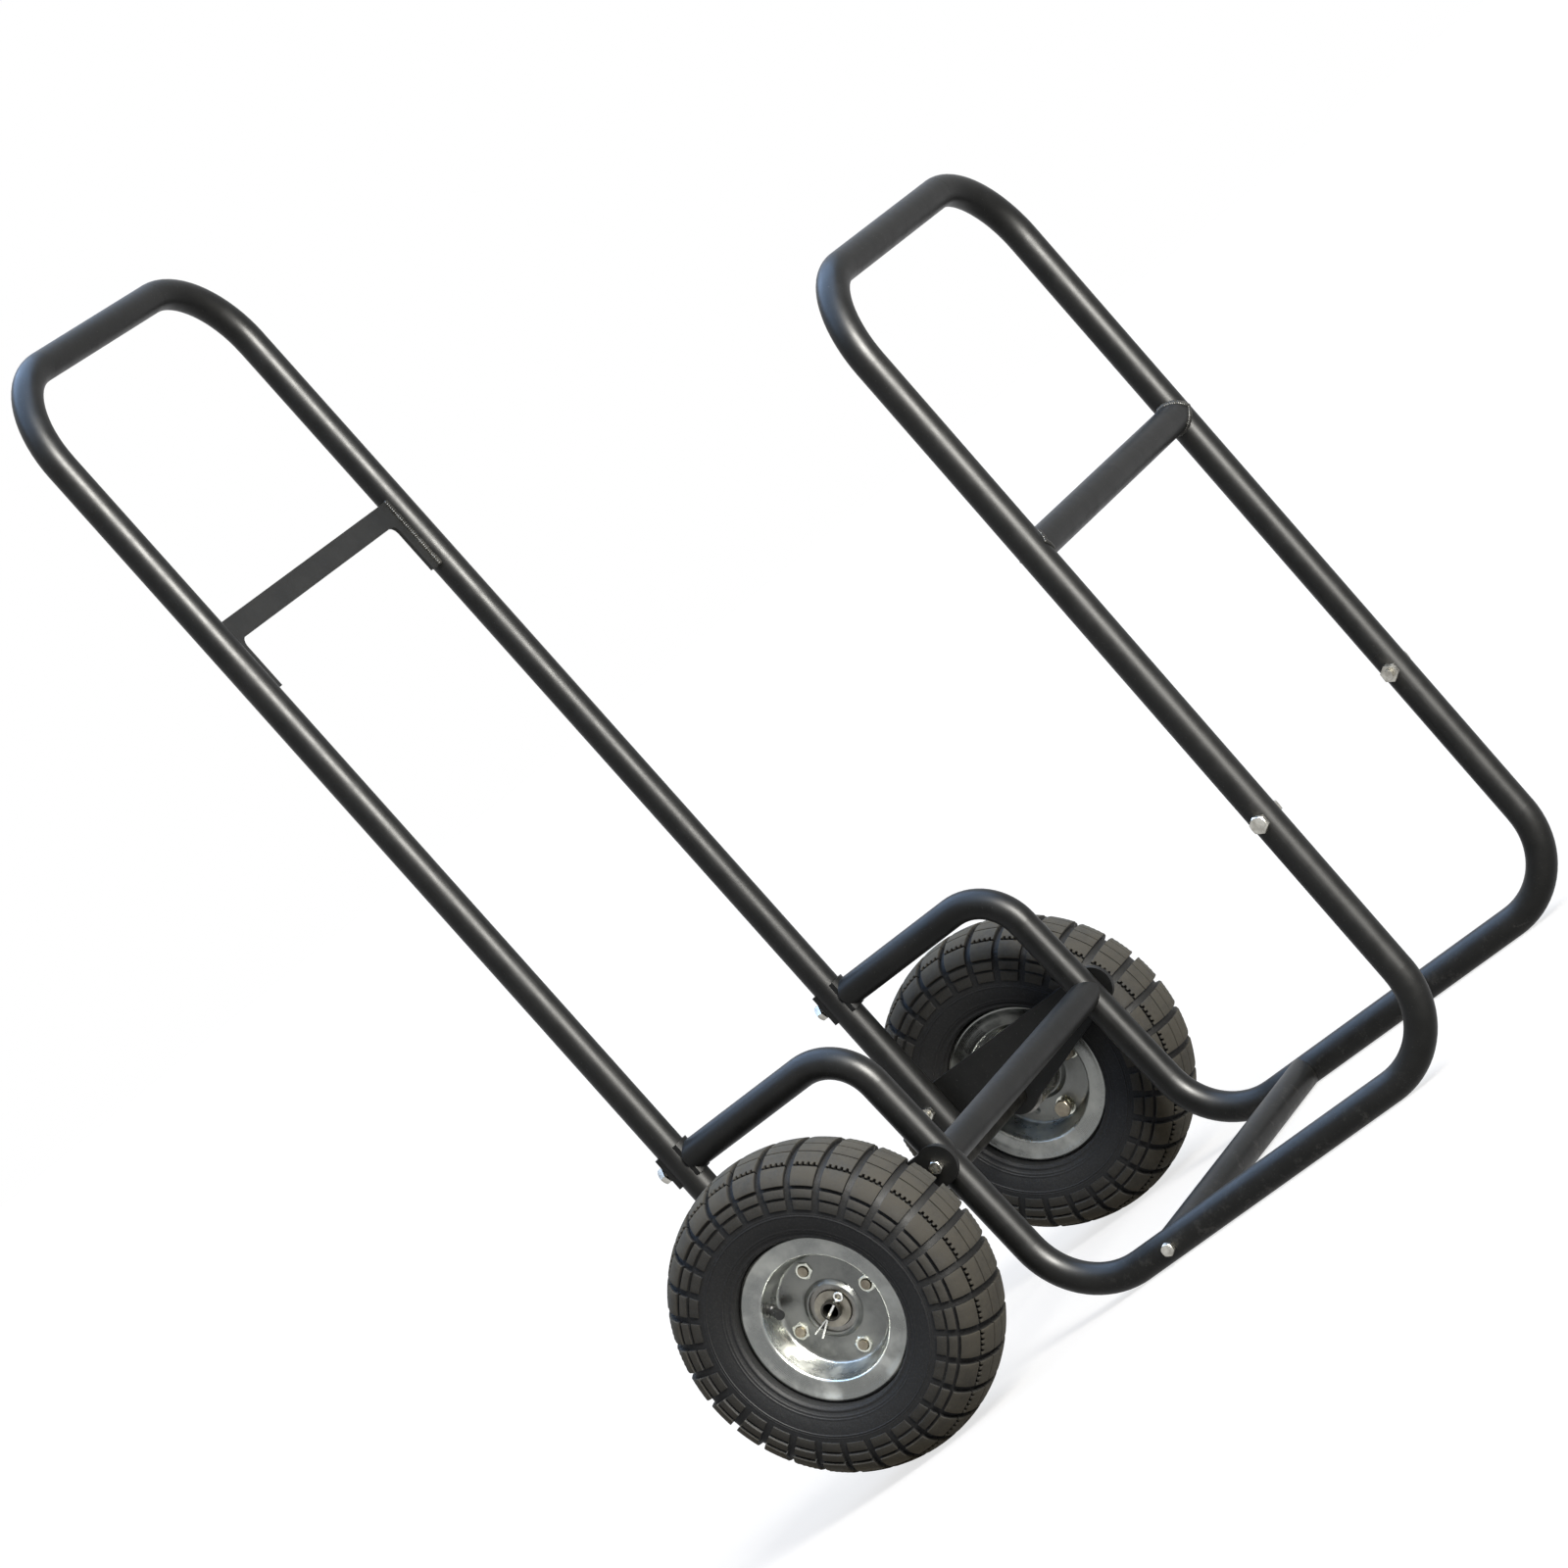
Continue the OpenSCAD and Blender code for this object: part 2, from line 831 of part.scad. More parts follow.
module tyre(side) {
    color(rubber)
        wheel_place(side)
            difference() {
                rotate_extrude($fn = round_fn) {
                    tyre_wall_2d();
                    tread_2d();
                    mirror([0, 1])
                        tread_2d();
                }
                for (i = [0 : tread_lugs - 1])
                    rotate([0, 0, i * 360 / tread_lugs])
                        tread_slot();
            }
}

module inner_tube(side) {
    wall = 2;
    color(rubber)
        wheel_place(side)
            rotate_extrude($fn = round_fn)
                translate([cavity_c, 0])
                    difference() {
                        circle(r = cavity_r - slip, $fn = round_fn);
                        circle(r = cavity_r - slip - wall, $fn = round_fn);
                    }
}

// Points on an arc from angle a to angle b
function arc(c, r, a, b) = let (n = 5) [for (i = [0 : n]) let (t = a + (b - a) * i / n)
    c + r * [cos(t), sin(t)]];

// Outline of a sheet of thickness t whose one skin follows the points; the other lies to their left
function sheet(p, t) = let (n = len(p)) concat(p, [for (i = [n - 1 : -1 : 0]) let (
    u = dir2(p[max(i - 1, 0)], p[min(i + 1, n - 1)])) p[i] + t * [-u.y, u.x]]);

// Visible skin of a rim half whose bolted face is at z = f, from the hub to the lip
function rim_skin(f) = let (
    top = rim_w / 2,
    hub_r = hub_d / 2 + seat,
    wall_a = atan2(top - f - rim_t, dish_out_r - dish_in_r),
    flat = f + rim_t)
    concat(
        [[hub_r, flat + boss_h], [boss_r - 4, flat + boss_h], [boss_r, flat]],
        arc([dish_in_r - dish_foot_r * tan(wall_a / 2), flat + dish_foot_r],
            dish_foot_r, -90, wall_a - 90),
        arc([dish_out_r + dish_mouth_r * tan(wall_a / 2), top - dish_mouth_r],
            dish_mouth_r, wall_a + 90, 90),
        arc([rim_d / 2 - lip_r, top - lip_r], lip_r, 90, 0));

module rim_half_2d(f) {
    polygon(sheet(rim_skin(f), -rim_t));
}

module rim_holes() {
    at_rim_bolts()
        translate([0, 0, -rim_w / 2])
            cylinder(d = clear_d(bolt_d), h = rim_w);
}

bolt_step = 360 / rim_bolt_n;
pip_a = [0.49 * bolt_step, 2.54 * bolt_step];
valve_a = 1.39 * bolt_step;
valve_z = disc_z + 16;
valve_lean = 42;
valve_d = 9;

// Valve axis from the dish's wall, at height valve_z, towards the hub and leaning outwards
module valve_place() {
    rotate([0, 0, valve_a])
        translate([dish_in_r + 2, 0, valve_z])
            rotate([0, valve_lean - 90, 0])
                children();
}

// Pressed round pips on the outer disc, each a low dome
module rim_pips() {
    foot_r = 3;
    rise = 1.1;
    dome_r = (foot_r * foot_r + rise * rise) / (2 * rise);
    for (a = pip_a)
        rotate([0, 0, a])
            translate([rim_bolt_pcd / 2, 0, disc_front - rim_t / 2])
                intersection() {
                    cylinder(r = foot_r, h = rim_t);
                    translate([0, 0, rim_t / 2 + rise - dome_r])
                        sphere(r = dome_r);
                }
}

module rim_outer(side) {
    color(zinc)
        wheel_place(side)
            difference() {
                union() {
                    rotate_extrude($fn = round_fn)
                        rim_half_2d(disc_z);
                    rim_pips();
                }
                rim_holes();
                valve_place()
                    translate([0, 0, -10])
                        cylinder(d = valve_d + 2 * seat, h = 20);
            }
}

module rim_inner(side) {
    color(zinc)
        wheel_place(side)
            mirror([0, 0, 1])
                difference() {
                    rotate_extrude($fn = round_fn)
                        rim_half_2d(-disc_z + seat);
                    rim_holes();
                }
}

bearing_t = 11;
flange_t = 1.5;
race_d = 35;
ball_d = 5;
ball_ring_r = 14.2;
hub_in_z = wheel_x - hub_in_x;

module hub(side) {
    len = hub_out + hub_in_z - 2 * (flange_t + seat);
    color(zinc)
        wheel_place(side)
            translate([0, 0, -hub_in_z + flange_t + seat])
                difference() {
                    cylinder(d = hub_d, h = len);
                    translate([0, 0, -cut])
                        cylinder(d = race_d, h = len + 2 * cut);
                }
}

// Outer and inner race of a flanged ball bearing, with its flange's face at z = 0
module races() {
    groove = ball_d / 2 + 0.15;
    rotate_extrude()
        difference() {
            union() {
                translate([ball_ring_r + 1.4, -bearing_t])
                    square([race_d / 2 - seat - ball_ring_r - 1.4, bearing_t]);
                translate([ball_ring_r + 1.4, -flange_t])
                    square([hub_d / 2 - ball_ring_r - 1.4, flange_t]);
                translate([axle_d / 2 + run, -bearing_t])
                    square([ball_ring_r - 1.4 - axle_d / 2 - run, bearing_t]);
            }
            translate([ball_ring_r, -bearing_t / 2])
                circle(r = groove);
        }
}

module at_bearings() {
    translate([0, 0, hub_out])
        children();
    translate([0, 0, -hub_in_z])
        mirror([0, 0, 1])
            children();
}

module bearing_races(side) {
    color(zinc)
        wheel_place(side)
            at_bearings()
                races();
}

module bearing_balls(side) {
    n = 9;
    color(zinc)
        wheel_place(side)
            at_bearings()
                for (i = [0 : n - 1])
                    rotate([0, 0, i * 360 / n])
                        translate([ball_ring_r, 0, -bearing_t / 2])
                            sphere(d = ball_d, $fn = 24);
}

// The joined discs between z = disc_back and z = disc_front
disc_front = disc_z + rim_t;
disc_back = disc_z - rim_t - seat;

module at_rim_bolts() {
    for (i = [0 : rim_bolt_n - 1])
        rotate([0, 0, i * bolt_step])
            translate([rim_bolt_pcd / 2, 0, 0])
                children();
}

module rim_bolts(side) {
    color(zinc)
        wheel_place(side)
            at_rim_bolts()
                translate([0, 0, disc_back - seat])
                    mirror([0, 0, 1])
                        hex_bolt(bolt_d, 2 * rim_t + nut_h(bolt_d) + 2);
}

module rim_nuts(side) {
    color(zinc)
        wheel_place(side)
            at_rim_bolts()
                translate([0, 0, disc_front + seat])
                    mirror([0, 0, 1])
                        hex_nut(bolt_d);
}

module valve_stem(side) {
    color(plastic)
        wheel_place(side)
            valve_place() {
                translate([0, 0, -4])
                    cylinder(d = valve_d, h = 7);
                translate([0, 0, 3])
                    cylinder(d1 = valve_d, d2 = 6, h = 2.2);
                translate([0, 0, 5.2])
                    cylinder(d = 5.5, h = 6);
            }
}

module valve_cap(side) {
    color(plastic)
        wheel_place(side)
            valve_place()
                translate([0, 0, 5.2 + seat])
                    difference() {
                        cylinder(d = 8, h = 9);
                        translate([0, 0, -cut])
                            cylinder(d = 5.5 + 2 * seat, h = 6 + cut + seat);
                    }
}

handle_frame();
handle_brace();
post_end_plugs();
rack_hoop();
rack_cross_tube();
side_frame_left();
side_frame_right();
leg_cross_tube();
ground_cross_tube();
cross_tube_inserts();
rail_end_inserts();
axle_bracket_left();
axle_bracket_right();
axle();
axle_washers();
cotter_pins();
handle_saddles();
handle_joint_bolts();
rack_joint_bolts();
rack_joint_nuts();
bracket_bolts();
bracket_nuts();
ground_cross_bolts();
tyre(1);  // tyre_left
inner_tube(1);  // inner_tube_left
rim_outer(1);  // rim_outer_left
rim_inner(1);  // rim_inner_left
hub(1);  // hub_left
bearing_races(1);  // bearing_races_left
bearing_balls(1);  // bearing_balls_left
rim_bolts(1);  // rim_bolts_left
rim_nuts(1);  // rim_nuts_left
valve_stem(1);  // valve_stem_left
valve_cap(1);  // valve_cap_left
tyre(-1);  // tyre_right
inner_tube(-1);  // inner_tube_right
rim_outer(-1);  // rim_outer_right
rim_inner(-1);  // rim_inner_right
hub(-1);  // hub_right
bearing_races(-1);  // bearing_races_right
bearing_balls(-1);  // bearing_balls_right
rim_bolts(-1);  // rim_bolts_right
rim_nuts(-1);  // rim_nuts_right
valve_stem(-1);  // valve_stem_right
valve_cap(-1);  // valve_cap_right
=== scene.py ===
"""Looks of the fireside log cart: paint, zinc, rubber, tread, welds, lights and camera.

Metres, +Z up, front towards -Y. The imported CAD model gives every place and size.
"""

import json
import math

import bmesh
import bpy
from mathutils import Matrix, Vector

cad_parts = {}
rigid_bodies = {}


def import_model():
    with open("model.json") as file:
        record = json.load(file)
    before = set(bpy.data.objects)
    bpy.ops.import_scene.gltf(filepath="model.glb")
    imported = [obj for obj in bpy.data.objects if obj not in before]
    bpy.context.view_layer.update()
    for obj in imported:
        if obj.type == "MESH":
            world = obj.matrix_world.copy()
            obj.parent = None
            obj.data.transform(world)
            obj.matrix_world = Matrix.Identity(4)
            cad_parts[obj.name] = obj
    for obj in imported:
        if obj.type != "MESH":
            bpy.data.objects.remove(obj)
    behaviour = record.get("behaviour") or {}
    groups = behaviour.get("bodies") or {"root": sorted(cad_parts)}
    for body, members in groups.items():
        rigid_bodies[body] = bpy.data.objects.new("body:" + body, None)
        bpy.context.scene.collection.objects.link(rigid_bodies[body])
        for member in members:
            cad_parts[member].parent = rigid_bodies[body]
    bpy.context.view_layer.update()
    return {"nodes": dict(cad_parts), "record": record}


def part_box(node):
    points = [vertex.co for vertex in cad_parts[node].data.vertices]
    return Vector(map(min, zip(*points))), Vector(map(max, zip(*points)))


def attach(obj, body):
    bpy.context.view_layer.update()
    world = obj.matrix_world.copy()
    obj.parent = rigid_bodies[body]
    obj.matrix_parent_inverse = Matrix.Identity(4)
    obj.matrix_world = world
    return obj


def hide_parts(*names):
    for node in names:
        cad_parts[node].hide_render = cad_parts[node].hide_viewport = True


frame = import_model()
nodes = frame["nodes"]


# ---------------------------------------------------------------- places, read from the CAD

MM = 0.001
TUBE_R = 12.7 * MM     # outside radius of every frame tube
SIDES = {"left": 1, "right": -1}

axle_low, axle_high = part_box("axle")
AXLE_Y, AXLE_Z = (axle_low.y + axle_high.y) / 2, (axle_low.z + axle_high.z) / 2
tyre_low, tyre_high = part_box("tyre_left")
WHEEL_X = (tyre_low.x + tyre_high.x) / 2
TYRE_R = (tyre_high.z - tyre_low.z) / 2
SIDE_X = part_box("handle_frame")[1].x - TUBE_R


def wheel_centre(side):
    """Where the wheel's middle plane crosses the axle."""
    return Vector((SIDES[side] * WHEEL_X, AXLE_Y, AXLE_Z))


# ---------------------------------------------------------------- camera, at the photograph's view


def photo_camera():
    """The camera fitted to the tubes' edges in the photograph; the cart leans in its picture."""
    data = bpy.data.cameras.new("photo_camera")
    data.sensor_width = 36.0
    data.lens = 155.63
    data.clip_start, data.clip_end = 0.1, 60.0
    camera = bpy.data.objects.new("photo_camera", data)
    bpy.context.scene.collection.objects.link(camera)
    right = Vector((0.35396, -0.68542, -0.63633))
    down = Vector((-0.3347, 0.54249, -0.77051))
    ahead = Vector((0.87332, 0.48571, -0.0374))
    turn = Matrix((right, -down, -ahead)).transposed().to_4x4()
    place = Vector((-4.66827, -2.71831 + AXLE_Y, 0.66294))
    camera.matrix_world = Matrix.Translation(place) @ turn
    bpy.context.scene.camera = camera


photo_camera()


# ---------------------------------------------------------------- materials


def blend(tree, share, a, b):
    """Colour a where the share is 0, colour b where it is 1."""
    node = tree.nodes.new("ShaderNodeMix")
    node.data_type = "RGBA"
    tree.links.new(share, node.inputs["Factor"])
    for socket, value in zip((node.inputs[6], node.inputs[7]), (a, b)):
        if isinstance(value, tuple):
            socket.default_value = (*value, 1.0)
        else:
            tree.links.new(value, socket)
    return node.outputs[2]


class Finish:
    """A node material under construction, with short calls for the nodes it needs."""

    def __init__(self, name, **settings):
        self.material = bpy.data.materials.new(name)
        self.material.use_nodes = True
        self.tree = self.material.node_tree
        self.shader = self.tree.nodes["Principled BSDF"]
        for key, value in settings.items():
            socket = key.replace("_", " ").title().replace("Ior", "IOR")
            self.shader.inputs[socket].default_value = value
        self.place = self.tree.nodes.new("ShaderNodeTexCoord").outputs["Object"]

    def link(self, source, socket):
        self.tree.links.new(source, socket)

    def noise(self, scale, detail=4.0, roughness=0.55, source=None):
        node = self.tree.nodes.new("ShaderNodeTexNoise")
        node.inputs["Scale"].default_value = scale
        node.inputs["Detail"].default_value = detail
        node.inputs["Roughness"].default_value = roughness
        self.link(source or self.place, node.inputs["Vector"])
        return node.outputs["Fac"]

    def ramp(self, source, low, high, a=0.0, b=1.0):
        """The source's range low to high, mapped smoothly to a to b."""
        node = self.tree.nodes.new("ShaderNodeMapRange")
        node.interpolation_type = "SMOOTHSTEP"
        for key, value in (("From Min", low), ("From Max", high), ("To Min", a), ("To Max", b)):
            node.inputs[key].default_value = value
        self.link(source, node.inputs["Value"])
        return node.outputs["Result"]

    def math(self, operation, a, b=0.0):
        node = self.tree.nodes.new("ShaderNodeMath")
        node.operation = operation
        for socket, value in zip(node.inputs, (a, b)):
            if isinstance(value, (int, float)):
                socket.default_value = value
            else:
                self.link(value, socket)
        return node.outputs[0]

    def mix(self, share, a, b):
        """Colour a where the share is 0, colour b where it is 1."""
        return blend(self.tree, share, a, b)

    def radius_about_axle(self):
        """Distance of a point from the axle's line."""
        across = self.tree.nodes.new("ShaderNodeMapping")
        across.inputs["Location"].default_value = (0.0, -AXLE_Y, -AXLE_Z)
        across.inputs["Scale"].default_value = (0.0, 1.0, 1.0)
        self.link(self.place, across.inputs["Vector"])
        length = self.tree.nodes.new("ShaderNodeVectorMath")
        length.operation = "LENGTH"
        self.link(across.outputs["Vector"], length.inputs[0])
        return length.outputs["Value"]

    def height(self):
        """Height of a point above the floor."""
        node = self.tree.nodes.new("ShaderNodeSeparateXYZ")
        self.link(self.place, node.inputs[0])
        return node.outputs["Z"]

    def colour(self, source):
        self.link(source, self.shader.inputs["Base Color"])

    def roughness(self, source):
        self.link(source, self.shader.inputs["Roughness"])

    def bump(self, *layers):
        """Bumps laid over one another, each a height source and its depth in metres."""
        below = None
        for source, depth in layers:
            node = self.tree.nodes.new("ShaderNodeBump")
            node.inputs["Distance"].default_value = depth
            self.link(source, node.inputs["Height"])
            if below:
                self.link(below, node.inputs["Normal"])
            below = node.outputs["Normal"]
        self.link(below, self.shader.inputs["Normal"])


COAT_DUST = (0.16, 0.155, 0.14)
COAT_SCUFF = (0.11, 0.105, 0.095)
SCUFF_TOP = 0.03       # height above the floor where scuffs end, in metres


def powder_coat(name, dark, pale, rough):
    """Satin powder coat: orange peel, a cloudy sheen, specks of dust and scuffs near the floor."""
    f = Finish(name, specular_ior_level=0.1)
    cloud = f.ramp(f.noise(24.0, 5.0, 0.6), 0.35, 0.7)
    dust = f.ramp(f.noise(520.0, 3.0, 0.7), 0.62, 0.78)
    low = f.ramp(f.height(), 0.0, SCUFF_TOP, 1.0, 0.0)
    scuff = f.math("MULTIPLY", low, f.ramp(f.noise(90.0, 6.0, 0.7), 0.52, 0.70, 0.0, 0.45))
    dusty = f.mix(f.math("MULTIPLY", dust, 0.25), f.mix(cloud, dark, pale), COAT_DUST)
    f.colour(f.mix(scuff, dusty, COAT_SCUFF))
    f.roughness(f.ramp(f.noise(70.0, 4.0, 0.6), 0.3, 0.75, rough - 0.03, rough + 0.05))
    f.bump((f.noise(90.0, 1.0), 0.00001))
    return f.material


def zinc_plate(name, dark, pale, rough):
    """Plated or plain steel of bolts, nuts, pins and axle, with a faint cloudy bloom."""
    f = Finish(name, metallic=1.0)
    cloud = f.ramp(f.noise(90.0, 5.0, 0.6), 0.3, 0.72)
    f.colour(f.mix(cloud, dark, pale))
    f.roughness(f.ramp(f.noise(260.0, 4.0, 0.6), 0.3, 0.75, rough - 0.07, rough + 0.1))
    f.bump((f.noise(420.0, 3.0), 0.00004))
    return f.material


RIM_PAINTED_LIGHT = (         # radius from and to, in metres, and the factor of the painted shade and highlight from and to
    (0.0445, 0.0475, 0.62, 1.4),       # painted shade on the disc, running into a painted highlight on the dish's wall
    (0.0520, 0.0545, 1.0, 0.715),      # painted shade on the flange, below the wall's highlight
)


def pressed_zinc(name, dark, pale, rough):
    """Zinc on the pressed rims: fine turned rings, soft stains, painted shade on the disc and
    flange and a painted highlight on the dish's wall.
    """
    f = Finish(name, metallic=1.0)
    r = f.radius_about_axle()
    rings = f.noise(900.0, 3.0, 0.6, r)
    stain = f.ramp(f.noise(26.0, 6.0, 0.62), 0.38, 0.66)
    # painted shade and highlight: the colour is scaled by its radius about the axle
    painted_light_scale = f.tree.nodes.new("ShaderNodeVectorMath")
    painted_light_scale.operation = "SCALE"
    f.link(f.mix(stain, dark, pale), painted_light_scale.inputs[0])
    f.link(f.math("MULTIPLY", *(f.ramp(r, *band) for band in RIM_PAINTED_LIGHT)), painted_light_scale.inputs["Scale"])
    f.colour(painted_light_scale.outputs["Vector"])
    wear = f.math("ADD", f.math("MULTIPLY", rings, 0.5), f.math("MULTIPLY", stain, 0.5))
    f.roughness(f.ramp(wear, 0.25, 0.8, rough - 0.06, rough + 0.12))
    f.bump((f.noise(30.0, 2.0), 0.0006), (rings, 0.00003))
    return f.material


RUBBER_BLACKS = (0.0085, 0.0085, 0.0088), (0.019, 0.0185, 0.0175)
EARTH = (0.082, 0.070, 0.048)
DUST_BEGINS, DUST_FULL = 0.034, 0.004      # depth below the tread's top, in metres


def tyre_rubber(name):
    """Tyre rubber: black walls and slots, with earth dust on the tops of the tread blocks."""
    f = Finish(name, specular_ior_level=0.12)
    raised = f.tree.nodes.new("ShaderNodeAttribute")
    raised.attribute_name = "raised"
    tops = f.ramp(raised.outputs["Fac"], 0.45, 0.98)
    tread = f.ramp(f.radius_about_axle(), TYRE_R - DUST_BEGINS, TYRE_R - DUST_FULL, 0.3, 1.0)
    patch = f.ramp(f.noise(34.0, 6.0, 0.68), 0.22, 0.60, 0.35, 1.0)
    dust = f.math("MULTIPLY", f.math("MULTIPLY", tops, tread), patch)
    speckle = f.ramp(f.noise(620.0, 3.0, 0.6), 0.45, 0.75)
    f.colour(f.mix(dust, f.mix(speckle, *RUBBER_BLACKS), EARTH))
    f.roughness(f.ramp(dust, 0.0, 1.0, 0.64, 0.88))
    f.bump((f.noise(240.0, 3.0), 0.0003), (f.noise(1200.0, 2.0), 0.00015))
    return f.material


def moulded(name, colour, rough, sheen=0.5):
    """Moulded plastic or rubber trim with a fine grain."""
    f = Finish(name, specular_ior_level=sheen)
    dark, pale = (tuple(share * c for c in colour) for share in (0.7, 1.3))
    f.colour(f.mix(f.noise(300.0, 3.0), dark, pale))
    f.roughness(f.ramp(f.noise(120.0, 3.0), 0.3, 0.7, rough - 0.08, rough + 0.08))
    f.bump((f.noise(1500.0, 2.0), 0.00005))
    return f.material


# Each has its name, the colour of its darker and of its paler patches, and its roughness.
PAINT = powder_coat("frame_powder_coat", (0.013, 0.013, 0.012), (0.0185, 0.018, 0.0165), 0.40)
BRACE_PAINT = powder_coat("brace_powder_coat",
                          (0.0175, 0.0172, 0.0155), (0.028, 0.0268, 0.0235), 0.52)
# The welds' coat is paler than the frame's: a painted highlight for the glints on the beads'
# ripples.
WELD_COAT_PAINTED_HIGHLIGHT = powder_coat("weld_coat_painted_highlight", (0.050, 0.048, 0.042), (0.13, 0.125, 0.108), 0.32)
RIM = pressed_zinc("rim_zinc_plate", (0.17, 0.175, 0.168), (0.26, 0.265, 0.25), 0.33)
ZINC = zinc_plate("bolt_zinc_plate", (0.22, 0.21, 0.185), (0.48, 0.47, 0.43), 0.28)
# The bearing steel is darkened: painted shade for the hub's recess.
BEARING_STEEL_PAINTED_SHADE = zinc_plate("bearing_steel", (0.13, 0.125, 0.115), (0.22, 0.215, 0.20), 0.36)
# The axle's steel is darkened: painted shade for its end, which sits in the hub's shaded recess.
AXLE_STEEL_PAINTED_SHADE = zinc_plate("axle_steel_painted_shade", (0.030, 0.029, 0.026), (0.060, 0.057, 0.050), 0.40)
WASHER_ZINC = zinc_plate("washer_zinc", (0.15, 0.14, 0.115), (0.24, 0.225, 0.19), 0.40)
PIN_STEEL = zinc_plate("pin_steel", (0.55, 0.55, 0.52), (0.80, 0.80, 0.77), 0.26)
NUT_ZINC = zinc_plate("nut_zinc", (0.42, 0.43, 0.38), (0.66, 0.67, 0.60), 0.24)
BOLT_END = zinc_plate("bolt_end_steel", (0.15, 0.13, 0.10), (0.26, 0.235, 0.185), 0.42)
TYRE = tyre_rubber("tyre_rubber")

# Each has its name, its middle colour and its roughness; the valve also has its sheen.
TUBE_RUBBER = moulded("tube_rubber", (0.016, 0.016, 0.016), 0.5)
PLASTIC = moulded("plug_plastic", (0.018, 0.018, 0.018), 0.42)
VALVE = moulded("valve_rubber", (0.006, 0.006, 0.006), 0.34, 0.3)

FINISH_OF = {
    "frame_paint": PAINT,
    "zinc_steel": ZINC,
    "rim_zinc": RIM,
    "bearing_steel": BEARING_STEEL_PAINTED_SHADE,
    "tyre_rubber": TYRE,
    "tube_rubber": TUBE_RUBBER,
    "plug_plastic": PLASTIC,
}
BODY_OF = {node: body
           for body, members in frame["record"]["behaviour"]["bodies"].items() for node in members}
SLOT_OF = {s["node"]: s["material_slot"] for s in frame["record"]["subparts"]}


# ---------------------------------------------------------------- pieces


SHARP_DEG = 32         # edges that turn by more than this stay sharp
CAD_MERGE = 2e-6       # CAD vertices this close are one, in metres
GROWN_MERGE = 1e-6     # and those of a swept or copied form
NO_LENGTH = 1e-7


def smooth_by_angle(bm, degrees):
    """Shades smooth, with sharp edges where faces meet at more than the angle."""
    limit = math.radians(degrees)
    for face in bm.faces:
        face.smooth = True
    for edge in bm.edges:
        edge.smooth = len(edge.link_faces) == 2 and edge.calc_face_angle(0.0) < limit


def finished_mesh(bm, name, degrees=SHARP_DEG):
    """Turns a mesh under construction into a shaded mesh, and frees it."""
    smooth_by_angle(bm, degrees)
    mesh = bpy.data.meshes.new(name)
    bm.to_mesh(mesh)
    bm.free()
    return mesh


def add_piece(name, mesh, node, material, replaces=True):
    """Links a finished mesh as a piece that rides with a CAD node, and may stand for it."""
    piece = bpy.data.objects.new(name, mesh)
    bpy.context.scene.collection.objects.link(piece)
    mesh.materials.clear()
    mesh.materials.append(material)
    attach(piece, BODY_OF[node])
    if replaces:
        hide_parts(node)
    return piece


def skin(node, material):
    """The node's own form with joined vertices, so that its curves shade smoothly."""
    bm = bmesh.new()
    bm.from_mesh(nodes[node].data)
    bmesh.ops.remove_doubles(bm, verts=bm.verts, dist=CAD_MERGE)
    bmesh.ops.dissolve_degenerate(bm, dist=NO_LENGTH, edges=bm.edges)
    return add_piece(node + "_skin", finished_mesh(bm, node + "_skin"), node, material)


class Grower:
    """A Geometry Nodes tree under construction."""

    def __init__(self, name, **inputs):
        self.tree = bpy.data.node_groups.new(name, "GeometryNodeTree")
        self.tree.interface.new_socket(
            "Geometry", in_out="OUTPUT", socket_type="NodeSocketGeometry")
        self.ids = {}
        for key, kind in inputs.items():
            socket = self.tree.interface.new_socket(
                key.replace("_", " ").title(), in_out="INPUT", socket_type="NodeSocket" + kind)
            self.ids[key] = socket.identifier
        self.entry = self.tree.nodes.new("NodeGroupInput")

    def asked(self, key):
        """The tree's own input of this name."""
        return self.entry.outputs[key.replace("_", " ").title()]

    def node(self, kind, links=(), **settings):
        """A node with its settings, and with sources or numbers on its inputs."""
        node = self.tree.nodes.new(kind)
        for key, value in settings.items():
            setattr(node, key, value)
        for socket, value in links:
            target = node.inputs[socket]
            if isinstance(value, bpy.types.NodeSocket):
                self.tree.links.new(value, target)
            else:
                target.default_value = value
        return node

    def finish(self, geometry, material):
        """Ends the tree in Realize Instances and Set Material."""
        real = self.node("GeometryNodeRealizeInstances", [("Geometry", geometry)])
        coated = self.node("GeometryNodeSetMaterial",
                           [("Geometry", real.outputs[0]), ("Material", material)])
        end = self.tree.nodes.new("NodeGroupOutput")
        self.tree.links.new(coated.outputs[0], end.inputs[0])

    def grow(self, name, **values):
        """Runs the tree with these inputs and returns its result as a plain mesh."""
        holder = bpy.data.objects.new(name + "_grown", bpy.data.meshes.new(name + "_grown"))
        bpy.context.scene.collection.objects.link(holder)
        modifier = holder.modifiers.new("grow", "NODES")
        modifier.node_group = self.tree
        for key, value in values.items():
            modifier[self.ids[key]] = value
        graph = bpy.context.evaluated_depsgraph_get()
        mesh = bpy.data.meshes.new_from_object(holder.evaluated_get(graph))
        mesh.name = name
        holder.modifiers.clear()
        bpy.data.objects.remove(holder)
        return mesh


def template(name, mesh):
    """An object that a tree copies; it is removed once the tree has run."""
    piece = bpy.data.objects.new(name, mesh)
    bpy.context.scene.collection.objects.link(piece)
    return piece


def loop_mesh(name, points, closed=True):
    """Points joined by edges, as a path or a profile for a tree."""
    mesh = bpy.data.meshes.new(name)
    n = len(points)
    edges = [(i, (i + 1) % n) for i in range(n if closed else n - 1)]
    mesh.from_pydata([tuple(p) for p in points], edges, [])
    return mesh


